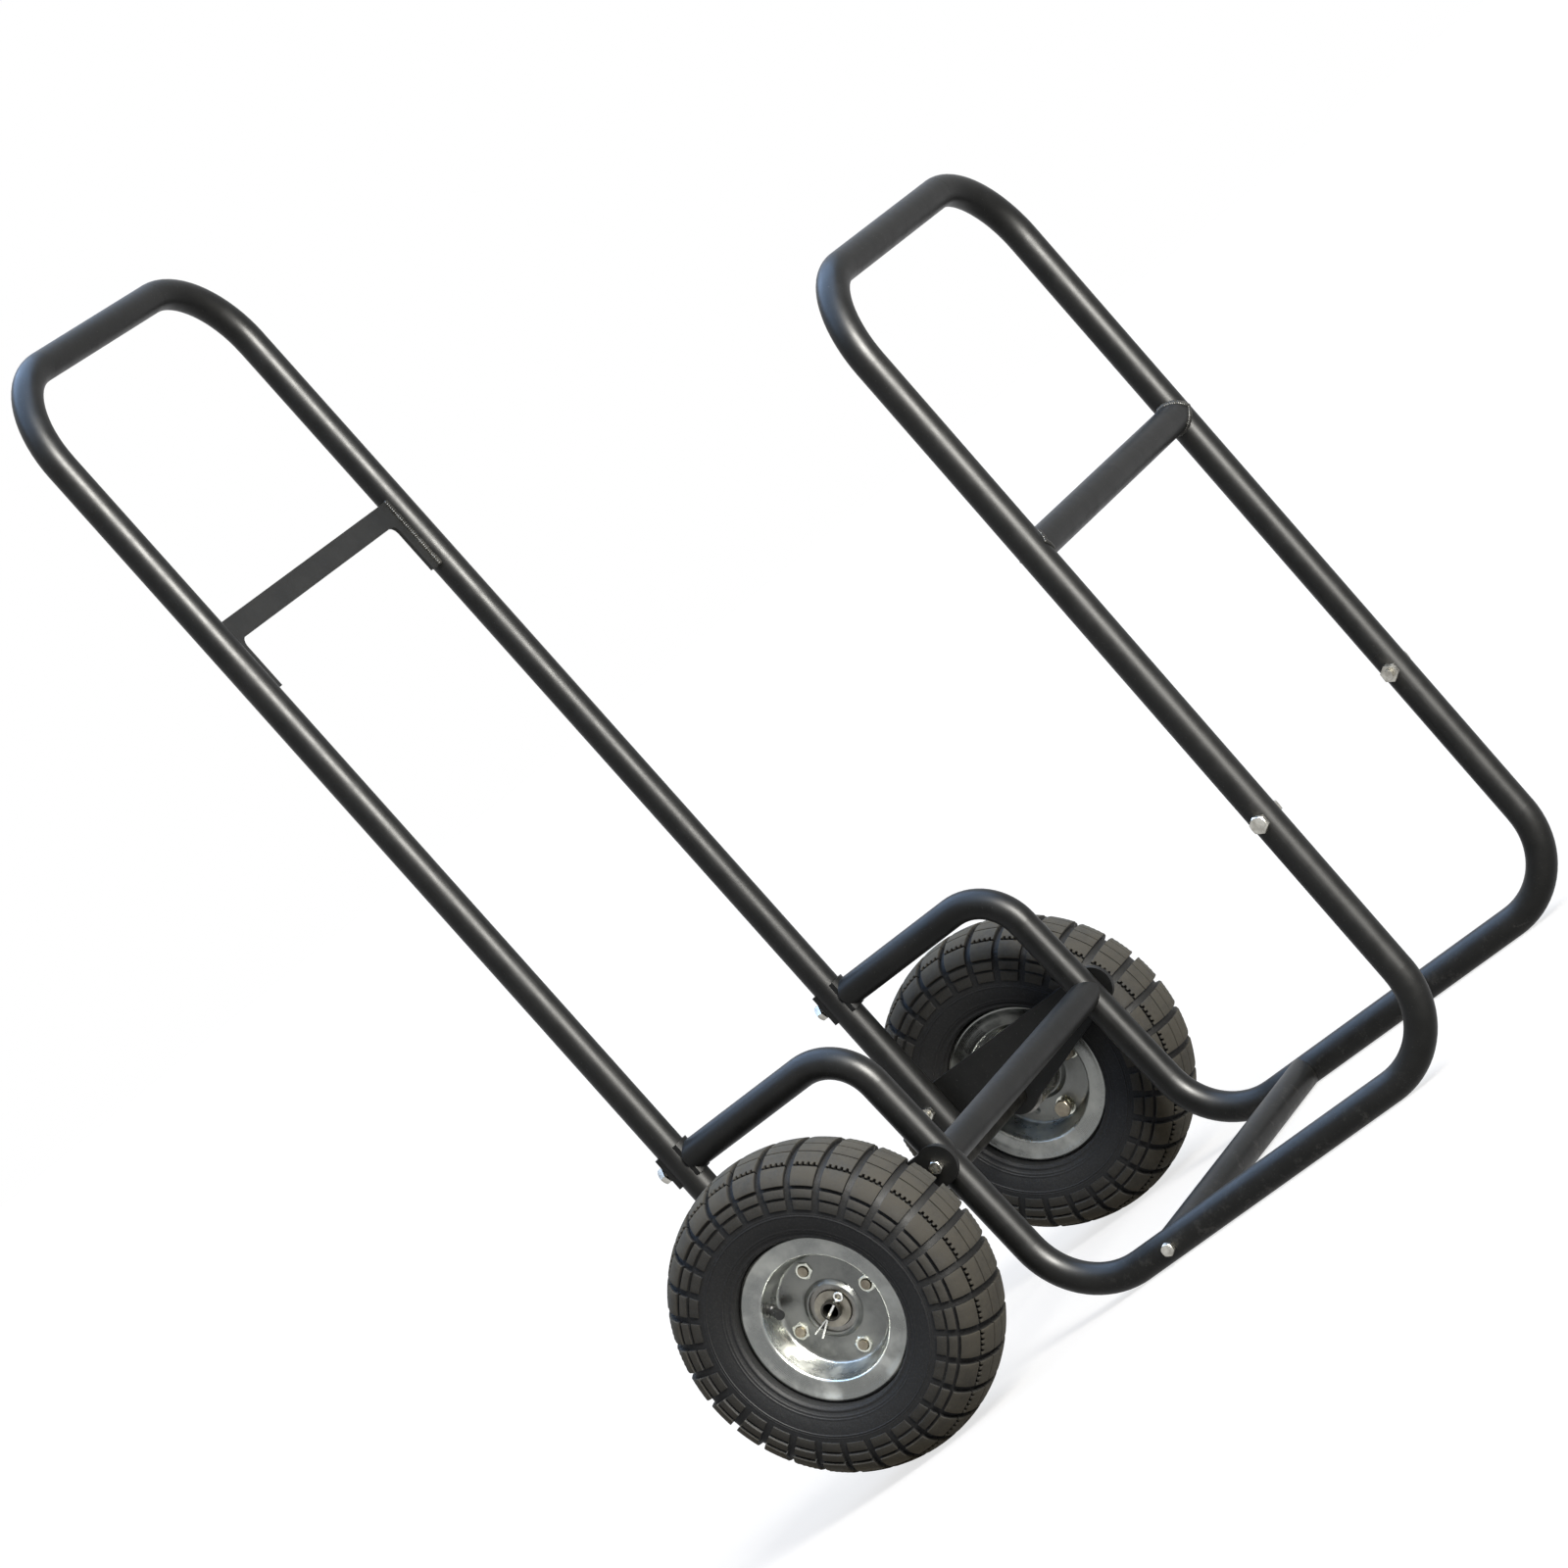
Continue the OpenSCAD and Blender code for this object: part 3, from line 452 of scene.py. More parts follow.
def turned_ring_tree():
    """Sweeps a closed profile round the wheel's axis: X is the radius, Y points outwards."""
    g = Grower("turned_ring", profile="Object", ring_radius="Float", segments="Int",
               centre="Vector", turn="Vector", finish="Material")
    circle = g.node("GeometryNodeCurvePrimitiveCircle",
                    [("Resolution", g.asked("segments")), ("Radius", g.asked("ring_radius"))])
    shape = g.node("GeometryNodeObjectInfo", [("Object", g.asked("profile"))])
    line = g.node("GeometryNodeMeshToCurve", [("Mesh", shape.outputs["Geometry"])])
    swept = g.node("GeometryNodeCurveToMesh",
                   [("Curve", circle.outputs["Curve"]), ("Profile Curve", line.outputs["Curve"])])
    placed = g.node("GeometryNodeTransform",
                    [("Geometry", swept.outputs["Mesh"]), ("Translation", g.asked("centre")),
                     ("Rotation", g.asked("turn"))])
    g.finish(placed.outputs["Geometry"], g.asked("finish"))
    return g


def ring_of_copies_tree():
    """Copies a piece round the wheel's axis at an even step."""
    g = Grower("ring_of_copies", piece="Object", count="Int", centre="Vector", finish="Material")
    points = g.node("GeometryNodePoints",
                    [("Count", g.asked("count")), ("Position", g.asked("centre"))])
    index = g.node("GeometryNodeInputIndex")
    share = g.node("ShaderNodeMath",
                   [(0, index.outputs[0]), (1, g.asked("count"))], operation="DIVIDE")
    angle = g.node("ShaderNodeMath",
                   [(0, share.outputs[0]), (1, math.tau)], operation="MULTIPLY")
    turn = g.node("ShaderNodeCombineXYZ", [("X", angle.outputs[0])])
    shape = g.node("GeometryNodeObjectInfo", [("Object", g.asked("piece"))])
    copies = g.node("GeometryNodeInstanceOnPoints",
                    [("Points", points.outputs[0]), ("Instance", shape.outputs["Geometry"]),
                     ("Rotation", turn.outputs[0])])
    g.finish(copies.outputs[0], g.asked("finish"))
    return g


def weld_bead_tree():
    """Lays overlapping drops of weld along a path, with uneven sizes from a fixed seed."""
    g = Grower("weld_bead", path="Object", pitch="Float", width="Float", height="Float",
               seed="Int", finish="Material")
    shape = g.node("GeometryNodeObjectInfo", [("Object", g.asked("path"))])
    line = g.node("GeometryNodeMeshToCurve", [("Mesh", shape.outputs["Geometry"])])
    points = g.node("GeometryNodeCurveToPoints",
                    [("Curve", line.outputs["Curve"]), ("Length", g.asked("pitch"))],
                    mode="LENGTH")
    drop = g.node("GeometryNodeMeshUVSphere", [("Segments", 10), ("Rings", 6), ("Radius", 1.0)])
    size = g.node("FunctionNodeRandomValue",
                  [("Min", 0.82), ("Max", 1.16), ("Seed", g.asked("seed"))], data_type="FLOAT")
    size_out = next(o for o in size.outputs if o.enabled)
    drop_size = g.node("ShaderNodeCombineXYZ", [
        ("X", g.asked("width")), ("Y", g.asked("height")), ("Z", g.asked("pitch"))])
    scale = g.node("ShaderNodeVectorMath",
                   [(0, drop_size.outputs[0]), (1, size_out)], operation="MULTIPLY")
    copies = g.node("GeometryNodeInstanceOnPoints",
                    [("Points", points.outputs["Points"]), ("Instance", drop.outputs["Mesh"]),
                     ("Rotation", points.outputs["Rotation"]), ("Scale", scale.outputs[0])])
    g.finish(copies.outputs[0], g.asked("finish"))
    return g


TURNED_RING = turned_ring_tree()
RING_OF_COPIES = ring_of_copies_tree()
WELD_BEAD = weld_bead_tree()


def outward_normals(mesh):
    """Joins doubles, turns the faces outwards and shades by angle."""
    bm = bmesh.new()
    bm.from_mesh(mesh)
    bmesh.ops.remove_doubles(bm, verts=bm.verts, dist=GROWN_MERGE)
    bmesh.ops.recalc_face_normals(bm, faces=bm.faces)
    smooth_by_angle(bm, SHARP_DEG)
    bm.to_mesh(mesh)
    bm.free()
    return mesh


def turned(name, profile, side, segments, finish):
    """A ring round the axle; the closed profile is (radius, distance outwards) in millimetres."""
    base = sum(r for r, _ in profile) / len(profile)
    points = [((r - base) * MM, z * MM * SIDES[side], 0.0) for r, z in profile]
    shape = template(name + "_profile", loop_mesh(name + "_profile", points))
    mesh = TURNED_RING.grow(
        name, profile=shape, ring_radius=base * MM, segments=segments, centre=wheel_centre(side),
        turn=Vector((0.0, math.pi / 2, 0.0)), finish=finish)
    bpy.data.objects.remove(shape)
    return outward_normals(mesh)


# ---------------------------------------------------------------- tyres

# Lengths from here to the wheel nuts are in millimetres, and angles are in degrees.
LUGS = 30
SLOT_W = 6.0
CORE_R = 90.5          # middle of the tyre's section, from the axle
CAVITY_C = 93.5        # middle of the cavity, from the axle
CAVITY_R = 31.3
CAVITY_GAP = 19.0      # half the opening between the beads
CAVITY_STEPS = 48
BEAD_HALF = 25.0
BEAD_R = 53.4
FLANGE_R = 70.3        # the casing shows beyond the rim's flange
SECTION = (            # circles that make up the outside: middle from the axle, sideways, radius
    (68.0, 0.0, 62.0),
    (95.0, -4.5, 46.0),
    (95.0, 4.5, 46.0),
)
SECTION_DEG = 128.0    # the outside runs this far to each side of the crown
SECTION_STEPS = 300
BLEND = 1.1            # how softly the circles run into one another
RIBS = (               # plain moulded ribs on the sidewall: radius, half width, height
    (72.6, 1.5, 0.9),
    (77.0, 0.5, 0.45),
    (79.2, 0.5, 0.45),
    (91.5, 0.7, 0.5),
    (93.5, 0.4, 0.35),
)
ROWS = (               # angle from, angle to, height, number of teeth on the outer edge
    (0.8, 15.7, 4.5, 0),
    (17.1, 35.8, 4.5, 4),
    (37.6, 57.5, 4.0, 0),
    (60.5, 68.5, 3.0, 0),
    (71.0, 81.0, 1.5, 0),
)
ARC_MM = 0.75          # length of one degree about the section's middle
BITE = 2.3             # depth of a toothed edge
TOOTH_FLANK = 0.12     # part of a tooth's step that its sloping side takes
LUG_SINK = 0.8         # how far a block's foot lies inside the casing
LUG_EDGE = 0.42        # rounding of a block's top edges
LUG_STRIPS = 4         # strips round the tyre that let a block curve
LUG_STRIP_DEG = 5      # width of its strips across the tyre
LUG_SHARP_DEG = 40
TURN_STEPS = 192
FINE_TURN_STEPS = 256


def arc(centre, radius, start, end, n=8):
    """Points along an arc, from one angle to another."""
    return [(centre[0] + radius * math.cos(math.radians(start + (end - start) * i / n)),
             centre[1] + radius * math.sin(math.radians(start + (end - start) * i / n)))
            for i in range(n + 1)]


def section_point(degrees, height):
    """Radius and sideways place of the tyre's outside, at an angle from the crown."""
    c, s = math.cos(math.radians(degrees)), math.sin(math.radians(degrees))
    shares = 0.0
    for centre_r, centre_z, radius in SECTION:
        px, pz = CORE_R - centre_r, -centre_z
        b = px * c + pz * s
        reach = -b + math.sqrt(b * b - px * px - pz * pz + (radius + height) ** 2)
        shares += math.exp(-reach / BLEND)
    reach = -BLEND * math.log(shares)
    return CORE_R + reach * c, reach * s


def wall_relief(radius):
    """Height of the plain moulded ribs on the sidewall."""
    return sum(h * max(0.0, 1.0 - ((radius - at) / half) ** 2) for at, half, h in RIBS)


def casing_profile():
    """Closed section of the tyre: outside from bead to bead, then back along the cavity."""
    outside = []
    for i in range(SECTION_STEPS + 1):
        degrees = -SECTION_DEG + 2 * SECTION_DEG * i / SECTION_STEPS
        r, _ = section_point(degrees, 0.0)
        if r >= FLANGE_R:
            outside.append(section_point(degrees, wall_relief(r)))
    heel = [(FLANGE_R, 1.0), (BEAD_R + 2.5, 1.0), (BEAD_R + 0.7, 0.97), (BEAD_R, 0.9)]
    low_side = [(r, -BEAD_HALF * share) for r, share in reversed(heel)]
    high_side = [(r, BEAD_HALF * share) for r, share in heel]
    mouth = math.degrees(math.atan2(CAVITY_GAP, -math.sqrt(CAVITY_R ** 2 - CAVITY_GAP ** 2)))
    cavity = arc((CAVITY_C, 0.0), CAVITY_R, mouth, -mouth, CAVITY_STEPS)
    return (low_side + outside + high_side
            + [(BEAD_R, CAVITY_GAP)] + cavity + [(BEAD_R, -CAVITY_GAP)])


def pour(part, bm):
    """Adds one mesh under construction to another, and frees it."""
    copy = bpy.data.meshes.new("poured")
    part.to_mesh(copy)
    part.free()
    bm.from_mesh(copy)
    bpy.data.meshes.remove(copy)


def outer_edge(u, half, teeth):
    """Outline of a block's outer edge, plain or with blunt teeth."""
    if not teeth:
        return [(u, half), (u, -half)]
    step = 2 * half / (2 * teeth + 1)
    points = []
    for k in range(2 * teeth + 1):
        level = u if k % 2 == 0 else u - BITE
        points.append((level, half - k * step - TOOTH_FLANK * step))
        points.append((level, half - (k + 1) * step + TOOTH_FLANK * step))
    return points


def slice_block(bm, places, direction):
    """Cuts a block into strips at these places, so that it can curve."""
    for place in places:
        bmesh.ops.bisect_plane(bm, geom=bm.verts[:] + bm.edges[:] + bm.faces[:],
                               plane_co=direction * place, plane_no=direction)


def lug(bm, start, end, height, teeth):
    """One tread block between two angles from the crown, on the tyre's right-hand half."""
    half = math.pi * section_point((start + end) / 2, height)[0] / LUGS - SLOT_W / 2
    u0, u1 = start * ARC_MM, end * ARC_MM
    outline = [(u0, -half), (u0, half)] + outer_edge(u1, half, teeth)
    part = bmesh.new()
    raised = part.verts.layers.float.new("raised")
    face = part.faces.new([part.verts.new((u, v, height)) for u, v in outline])
    sides = bmesh.ops.extrude_face_region(part, geom=[face])
    foot = [g for g in sides["geom"] if isinstance(g, bmesh.types.BMVert)]
    bmesh.ops.translate(part, verts=foot, vec=(0.0, 0.0, -height - LUG_SINK))
    top = [e for e in part.edges if all(v.co.z > height - 1e-6 for v in e.verts)]
    bmesh.ops.bevel(part, geom=top, offset=LUG_EDGE, segments=2, profile=0.6, affect="EDGES",
                    clamp_overlap=True)
    slice_block(part, [-half + k * 2 * half / LUG_STRIPS for k in range(1, LUG_STRIPS)],
                Vector((0, 1, 0)))
    cuts = max(1, round((end - start) / LUG_STRIP_DEG))
    slice_block(part, [u0 + k * (u1 - u0) / cuts for k in range(1, cuts)], Vector((1, 0, 0)))
    for vert in part.verts:
        u, v, h = vert.co
        vert[raised] = max(0.0, h / height)
        r, z = section_point(u / ARC_MM, h)
        turn = v / half * (math.pi / LUGS - SLOT_W / 2 / r)
        vert.co = (z * MM, r * math.cos(turn) * MM, r * math.sin(turn) * MM)
    bmesh.ops.recalc_face_normals(part, faces=part.faces)
    pour(part, bm)


def lug_column():
    """One pitch of the tread: every row of blocks, on both halves of the tyre."""
    bm = bmesh.new()
    bm.verts.layers.float.new("raised")
    for row in ROWS:
        lug(bm, *row)
    other = bm.copy()
    bmesh.ops.scale(other, vec=(-1.0, 1.0, 1.0), verts=other.verts)
    bmesh.ops.reverse_faces(other, faces=other.faces)
    pour(other, bm)
    bmesh.ops.rotate(bm, verts=bm.verts, cent=(0, 0, 0),
                     matrix=Matrix.Rotation(math.pi / LUGS, 3, "X"))
    return finished_mesh(bm, "lug_column", LUG_SHARP_DEG)


def tyres():
    """Each tyre's casing, and its tread: a column of blocks at every pitch."""
    column = template("lug_column", lug_column())
    for side in SIDES:
        node = "tyre_" + side
        casing = turned("tyre_casing_" + side, casing_profile(), side, TURN_STEPS, TYRE)
        add_piece("tyre_casing_" + side, casing, node, TYRE)
        tread = RING_OF_COPIES.grow("tyre_tread_" + side, piece=column, count=LUGS,
                                    centre=wheel_centre(side), finish=TYRE)
        add_piece("tyre_tread_" + side, tread, node, TYRE)
    bpy.data.objects.remove(column)


# ---------------------------------------------------------------- rims

RIM_T = 2.0
RIM_TOP = 28.0         # outer edge of the flange, from the wheel's middle plane
RIM_R = 69.5
RIM_BORE = 19.6
LIP_RISE, LIP_R = 3.5, 0.9         # turned-up lip round the bore
LIP_BEND, LIP_FOOT = (20.6, 2.6), (24.4, 0.3)      # radius, height over the disc
DISC_Z = -2.5          # bolted face of the outer half
RIM_GAP = 0.05         # between the bolted faces
DISH_IN_R, DISH_OUT_R = 46.0, 52.5
FOOT_R, MOUTH_R, ROLL_R = 4, 3, 2.6        # bends at the dish's foot, its mouth, the flange's edge
FLANGE_DROP = 2.4      # how far the flange's inner edge lies below its outer edge
FLANGE_SLOPE = ((60.0, 0.35), (62.5, 0.85), (64.5, 1.5))       # radius, rise above the mouth
PIP_TURNS = (44.1, 228.6)          # the two pressed pips, in degrees about the axle
PIP_AT, PIP_R, PIP_H = 0.0365, 0.0034, 0.0011      # in metres


def offset_line(points, depth):
    """The points moved sideways by the depth, square to the line."""
    moved = []
    for i, point in enumerate(points):
        a, b = points[max(i - 1, 0)], points[min(i + 1, len(points) - 1)]
        length = math.hypot(b[0] - a[0], b[1] - a[1])
        ux, uz = (b[0] - a[0]) / length, (b[1] - a[1]) / length
        moved.append((point[0] + depth * uz, point[1] - depth * ux))
    return moved


def rim_profile(face):
    """Closed section of one rim half, whose bolted face is at this distance outwards."""
    flat = face + RIM_T
    mouth = RIM_TOP - FLANGE_DROP
    wall = math.degrees(math.atan2(mouth - flat, DISH_OUT_R - DISH_IN_R))
    half = math.tan(math.radians(wall / 2))
    lip = ([(RIM_BORE, flat + LIP_RISE)]
           + arc((LIP_BEND[0], flat + LIP_BEND[1]), LIP_R, 90, 50, 4)
           + [(LIP_FOOT[0], flat + LIP_FOOT[1])])
    disc = [(25.0 + k, flat) for k in range(1, 17)]        # close enough to carry the pips
    dish = (arc((DISH_IN_R - FOOT_R * half, flat + FOOT_R), FOOT_R, -90, wall - 90)
            + arc((DISH_OUT_R + MOUTH_R * half, mouth - MOUTH_R), MOUTH_R, wall + 90, 96))
    flange = ([(r, mouth + rise) for r, rise in FLANGE_SLOPE]
              + arc((RIM_R - ROLL_R, RIM_TOP - ROLL_R), ROLL_R, 105, 0))
    skin_line = lip + disc + dish + flange
    return skin_line + offset_line(skin_line, RIM_T)[::-1]


def press_pips(mesh, side):
    """Raises the two pressed pips on the outer disc."""
    centre = wheel_centre(side)
    out = SIDES[side]
    for turn in PIP_TURNS:
        angle = math.radians(turn - 90.0)
        y, z = centre.y + PIP_AT * math.cos(angle), centre.z + PIP_AT * math.sin(angle)
        for vert in mesh.vertices:
            away = math.hypot(vert.co.y - y, vert.co.z - z) / PIP_R
            if away < 1.0 and (vert.co.x - centre.x) * out > (DISC_Z + RIM_T) * MM - 1e-5:
                vert.co.x += out * PIP_H * (1.0 - away * away) ** 1.5


def rims():
    """The outer half of each rim with its pips, and the inner half."""
    for side in SIDES:
        outer = turned("rim_outer_form_" + side, rim_profile(DISC_Z), side, FINE_TURN_STEPS, RIM)
        press_pips(outer, side)
        add_piece("rim_outer_form_" + side, outer, "rim_outer_" + side, RIM)
        mirrored = [(r, -z) for r, z in rim_profile(-DISC_Z + RIM_GAP)]
        inner = turned("rim_inner_form_" + side, mirrored, side, TURN_STEPS, RIM)
        add_piece("rim_inner_form_" + side, inner, "rim_inner_" + side, RIM)


# ---------------------------------------------------------------- wheel nuts

NUT_ACROSS = 13.0
NUT_BORE = 8.0
NUT_FLANGE_R = 8.7
NUT_FACE = 0.475       # radius of the flat end face, as a share of the width across flats
NUT_CHAMFER = 0.577    # drop of the turned chamfer for each millimetre outwards: 30 degrees
NUT_SINK = 0.8         # countersink of the thread
NUT_STEPS = 48
NUT_SHARP_DEG = 25


def solids_of(node):
    """The points of each separate solid in a CAD node, always in the same order."""
    bm = bmesh.new()
    bm.from_mesh(nodes[node].data)
    bmesh.ops.remove_doubles(bm, verts=bm.verts, dist=CAD_MERGE)
    seen = set()
    solids = []
    for first in bm.verts:
        if first in seen:
            continue
        seen.add(first)
        reached = [first]
        for vert in reached:
            for edge in vert.link_edges:
                other = edge.other_vert(vert)
                if other not in seen:
                    seen.add(other)
                    reached.append(other)
        solids.append([vert.co.copy() for vert in reached])
    bm.free()
    return solids


def chamfered_nut(bm, points, out):
    """A flanged hexagon nut with a turned chamfer and a countersink, on the CAD nut's seat."""
    low = Vector([min(p[k] for p in points) for k in range(3)])
    high = Vector([max(p[k] for p in points) for k in range(3)])
    middle = (low + high) / 2
    height = (high.x - low.x) / MM
    spokes = (Vector((0.0, p.y - middle.y, p.z - middle.z)) for p in points)
    corner = max(spokes, key=lambda v: v.length)
    corner.normalize()
    across = Vector((out, 0.0, 0.0)).cross(corner)
    seat = middle - Vector((out * height * MM / 2, 0.0, 0.0))
    face_r, bore_r = NUT_FACE * NUT_ACROSS, NUT_BORE / 2

    def hexagon(t):
        """Distance of the six flats from the nut's axis, at an angle from a corner."""
        return NUT_ACROSS / 2 / math.cos(t % (math.pi / 3) - math.pi / 6)

    def circle(radius):
        return lambda t: radius

    def flat(level):
        return lambda r: level

    rings = []
    for reach, level in (
            (circle(NUT_FLANGE_R), flat(0.0)), (circle(NUT_FLANGE_R), flat(0.6)),
            (circle(NUT_FLANGE_R - 0.3), flat(0.9)), (hexagon, flat(1.2)),
            (hexagon, lambda r: height - (r - face_r) * NUT_CHAMFER),
            (circle(face_r), flat(height)), (circle(bore_r + NUT_SINK), flat(height)),
            (circle(bore_r), flat(height - NUT_SINK)), (circle(bore_r), flat(0.0))):
        ring = []
        for i in range(NUT_STEPS):
            t = math.tau * i / NUT_STEPS
            r = reach(t)
            side = (math.cos(t) * corner + math.sin(t) * across) * r
            ring.append(bm.verts.new(seat + MM * (side + Vector((out * level(r), 0.0, 0.0)))))
        rings.append(ring)
    for a, b in zip(rings, rings[1:] + rings[:1]):
        for i in range(NUT_STEPS):
            k = (i + 1) % NUT_STEPS
            bm.faces.new((a[i], a[k], b[k], b[i]))


def wheel_nuts():
    """A chamfered nut in place of each CAD nut."""
    for side, out in SIDES.items():
        node = "rim_nuts_" + side
        bm = bmesh.new()
        for points in solids_of(node):
            chamfered_nut(bm, points, out)
        bmesh.ops.recalc_face_normals(bm, faces=bm.faces)
        name = "rim_nuts_chamfered_" + side
        add_piece(name, finished_mesh(bm, name, NUT_SHARP_DEG), node, NUT_ZINC)


# ---------------------------------------------------------------- welds

# Lengths are in millimetres here too.
RACK_LEAN = math.radians(1.8)
HANDLE_LEAN = math.radians(2.5)
BRACE_WELD = 66.0      # length of a bead along the brace's tab
BRACE_FACE = 1.9       # from the brace's middle plane to the middle of a bead
BRACE_INSET = 0.5      # from the post's side to the middle of a bead
BRACE_POINTS = 25
CROSS_INSET = 0.4      # from the hoop's surface back along the cross tube
CROSS_RAISE = 0.2      # and out from the cross tube's surface
CROSS_POINTS = 96


def weld(name, points, node, closed, seed, width=2.3, height=1.5, pitch=1.7):
    """A bead of weld along a path, on a piece that keeps its CAD form."""
    path = template(name + "_path", loop_mesh(name + "_path", points, closed))
    mesh = WELD_BEAD.grow(name, path=path, pitch=pitch * MM, width=width * MM,
                          height=height * MM, seed=seed, finish=WELD_COAT_PAINTED_HIGHLIGHT)
    bpy.data.objects.remove(path)
    for polygon in mesh.polygons:
        polygon.use_smooth = True
    add_piece(name, mesh, node, WELD_COAT_PAINTED_HIGHLIGHT, replaces=False)


def cross_tube_welds():
    """A bead round each coped end of the hoop's cross tube."""
    low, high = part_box("rack_cross_tube")
    middle = (low + high) / 2
    up = Vector((0.0, math.sin(RACK_LEAN), math.cos(RACK_LEAN)))
    out = Vector((0.0, -math.cos(RACK_LEAN), math.sin(RACK_LEAN)))
    for number, sign in enumerate((1, -1)):
        points = []
        for i in range(CROSS_POINTS):
            t = math.tau * i / CROSS_POINTS
            reach = SIDE_X - TUBE_R * abs(math.sin(t)) - CROSS_INSET * MM
            ring = (TUBE_R + CROSS_RAISE * MM) * (math.cos(t) * out + math.sin(t) * up)
            points.append(Vector((sign * reach, middle.y, middle.z)) + ring)
        weld("cross_tube_weld_%d" % number, points, "rack_cross_tube", True, seed=11 + number)


def brace_welds():
    """A bead along each of the brace's tabs, on both faces of the plate."""
    low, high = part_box("handle_brace")
    middle = (low + high) / 2
    up = Vector((0.0, math.sin(HANDLE_LEAN), math.cos(HANDLE_LEAN)))
    back = Vector((0.0, math.cos(HANDLE_LEAN), -math.sin(HANDLE_LEAN)))
    for number, (sign, face) in enumerate(((1, 1), (1, -1), (-1, 1), (-1, -1))):
        start = Vector((sign * (SIDE_X - TUBE_R - BRACE_INSET * MM), middle.y, middle.z))
        points = []
        for i in range(BRACE_POINTS):
            along = (i / (BRACE_POINTS - 1) - 0.5) * BRACE_WELD
            points.append(start + along * MM * up + face * BRACE_FACE * MM * back)
        weld("brace_weld_%d" % number, points, "handle_brace", False, seed=31 + number,
             width=3.0, height=2.0, pitch=1.9)


# ---------------------------------------------------------------- everything on the cart

tyres()
rims()
wheel_nuts()
cross_tube_welds()
brace_welds()

REBUILT = {"%s_%s" % (part, side)
           for part in ("tyre", "rim_outer", "rim_inner", "rim_nuts") for side in SIDES}
OWN_FINISH = {
    "handle_brace": BRACE_PAINT,
    "axle": AXLE_STEEL_PAINTED_SHADE,
    "axle_washers": WASHER_ZINC,
    "cotter_pins": PIN_STEEL,
}
for side in SIDES:
    OWN_FINISH["rim_bolts_" + side] = BOLT_END
    OWN_FINISH["valve_stem_" + side] = VALVE
    OWN_FINISH["valve_cap_" + side] = VALVE
for node in sorted(set(nodes) - REBUILT):
    skin(node, OWN_FINISH.get(node, FINISH_OF[SLOT_OF[node]]))


# ---------------------------------------------------------------- floor and light


FLOOR_COLOUR = (0.36, 0.355, 0.35)
FLOOR_GLOW = (0.72, 0.72, 0.72)
FLOOR_HALF = 40.0
FLOOR_GAP = 0.0002     # keeps the floor clear of what stands on it
HORIZON, ZENITH = (0.34, 0.335, 0.32), (0.48, 0.54, 0.66)
SKY_FROM, SKY_TO = 0.05, 0.75      # the horizon's colour runs into the zenith's between these


def seen_share(tree):
    """1 for rays from the camera, off gloss and through glass: these see the white background."""
    path = tree.nodes.new("ShaderNodeLightPath")
    total = path.outputs["Is Camera Ray"]
    for kind in ("Is Glossy Ray", "Is Transmission Ray"):
        node = tree.nodes.new("ShaderNodeMath")
        node.operation = "ADD"
        node.use_clamp = True
        tree.links.new(total, node.inputs[0])
        tree.links.new(path.outputs[kind], node.inputs[1])
        total = node.outputs[0]
    return total


def plain_floor():
    """A floor that looks white and keeps the cart's shadow."""
    bm = bmesh.new()
    bmesh.ops.create_grid(bm, x_segments=1, y_segments=1, size=FLOOR_HALF)
    mesh = bpy.data.meshes.new("floor")
    bm.to_mesh(mesh)
    bm.free()
    floor = bpy.data.objects.new("floor", mesh)
    bpy.context.scene.collection.objects.link(floor)
    floor.location.z = -FLOOR_GAP
    material = bpy.data.materials.new("floor_white")
    material.use_nodes = True
    tree = material.node_tree
    tree.nodes.clear()
    diffuse = tree.nodes.new("ShaderNodeBsdfDiffuse")
    diffuse.inputs["Color"].default_value = (*FLOOR_COLOUR, 1.0)
    glow = tree.nodes.new("ShaderNodeEmission")
    glow.inputs["Color"].default_value = (*FLOOR_GLOW, 1.0)
    tree.links.new(seen_share(tree), glow.inputs["Strength"])
    both = tree.nodes.new("ShaderNodeAddShader")
    tree.links.new(diffuse.outputs[0], both.inputs[0])
    tree.links.new(glow.outputs[0], both.inputs[1])
    out = tree.nodes.new("ShaderNodeOutputMaterial")
    tree.links.new(both.outputs[0], out.inputs["Surface"])
    mesh.materials.append(material)


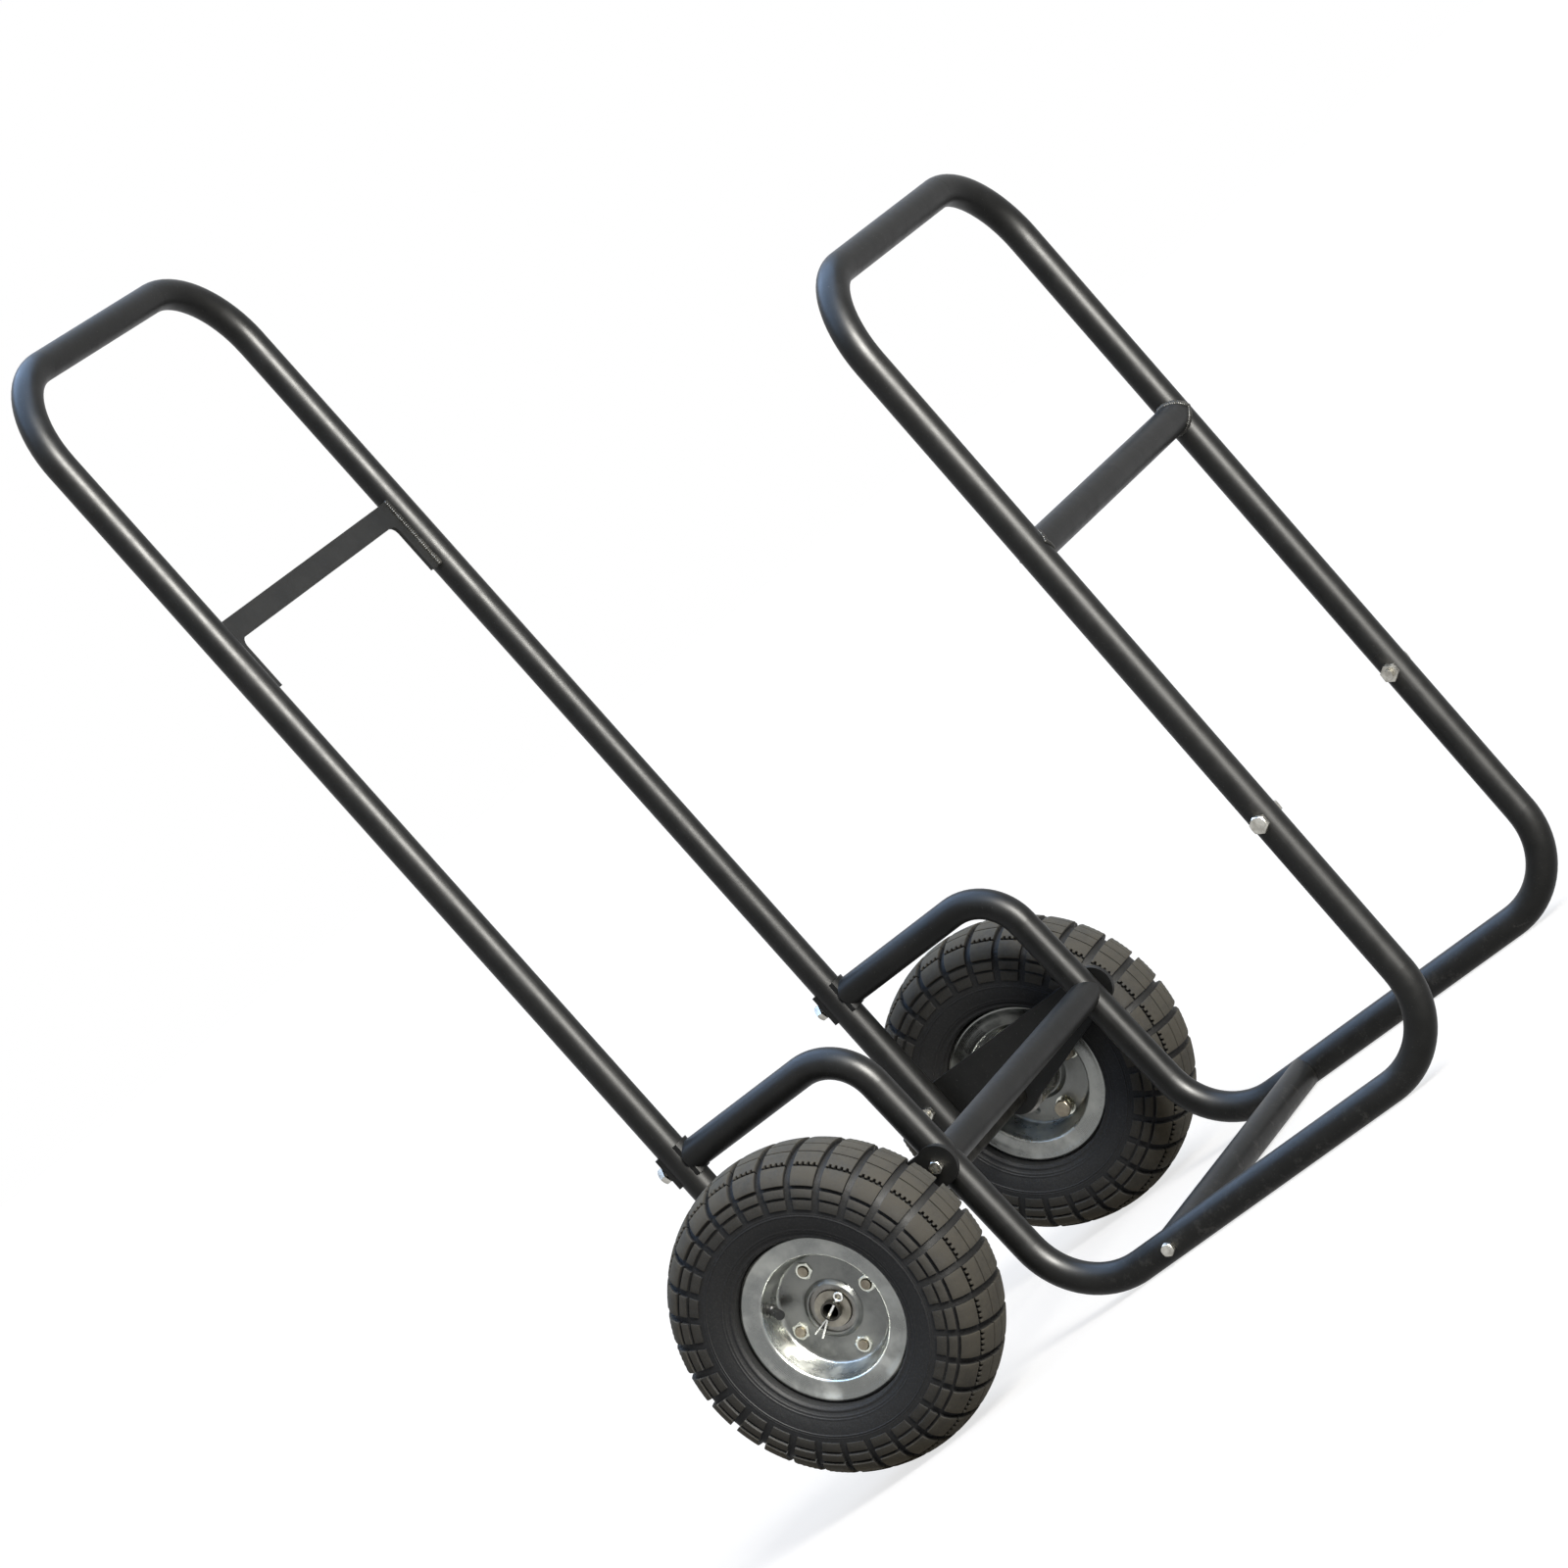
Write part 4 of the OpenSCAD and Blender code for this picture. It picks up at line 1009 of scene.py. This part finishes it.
def studio():
    """White where it is seen; soft daylight from all round falls on the cart."""
    world = bpy.data.worlds.new("studio")
    world.use_nodes = True
    bpy.context.scene.world = world
    tree = world.node_tree
    parts = tree.nodes.new("ShaderNodeSeparateXYZ")
    tree.links.new(tree.nodes.new("ShaderNodeTexCoord").outputs["Object"], parts.inputs[0])
    height = tree.nodes.new("ShaderNodeMapRange")
    height.interpolation_type = "SMOOTHSTEP"
    height.inputs["From Min"].default_value = SKY_FROM
    height.inputs["From Max"].default_value = SKY_TO
    tree.links.new(parts.outputs["Z"], height.inputs["Value"])
    room = tree.nodes["Background"]
    tree.links.new(blend(tree, height.outputs["Result"], HORIZON, ZENITH), room.inputs["Color"])
    white = tree.nodes.new("ShaderNodeBackground")
    white.inputs["Color"].default_value = (1.0, 1.0, 1.0, 1.0)
    mix = tree.nodes.new("ShaderNodeMixShader")
    tree.links.new(seen_share(tree), mix.inputs["Fac"])
    tree.links.new(room.outputs[0], mix.inputs[1])
    tree.links.new(white.outputs[0], mix.inputs[2])
    tree.links.new(mix.outputs[0], tree.nodes["World Output"].inputs["Surface"])


def reflection_card(name, place, target, width, height, watts, colour):
    """A rectangular lamp that shows in gloss only, and adds no light to a colour."""
    data = bpy.data.lights.new(name, "AREA")
    data.shape = "RECTANGLE"
    data.size, data.size_y = width, height
    data.energy = watts
    data.color = colour
    light = bpy.data.objects.new(name, data)
    bpy.context.scene.collection.objects.link(light)
    light.location = place
    light.rotation_euler = (Vector(target) - Vector(place)).to_track_quat("-Z", "Y").to_euler()
    light.visible_diffuse = False


def low_sun(ahead, strength, spread, colour):
    """One broad, even light, which gives the floor the cart's soft shadow."""
    data = bpy.data.lights.new("low_sun", "SUN")
    data.energy = strength
    data.angle = math.radians(spread)
    data.color = colour
    light = bpy.data.objects.new("low_sun", data)
    bpy.context.scene.collection.objects.link(light)
    light.rotation_euler = Vector(ahead).to_track_quat("-Z", "Y").to_euler()


plain_floor()
studio()
low_sun(ahead=(0.44, 0.78, -0.85), strength=2.1, spread=24.0, colour=(1.0, 0.965, 0.90))
reflection_card("strip", place=(-1.94, -3.50, 1.70), target=(0.0, 0.0, 1.0),
                width=1.6, height=1.8, watts=2500.0, colour=(1.0, 0.98, 0.92))
reflection_card("sky", place=(0.0, 0.0, 3.60), target=(0.0, 0.0, 0.0),
                width=5.0, height=5.0, watts=800.0, colour=(0.40, 0.62, 1.0))

bpy.context.scene.view_settings.view_transform = "Standard"
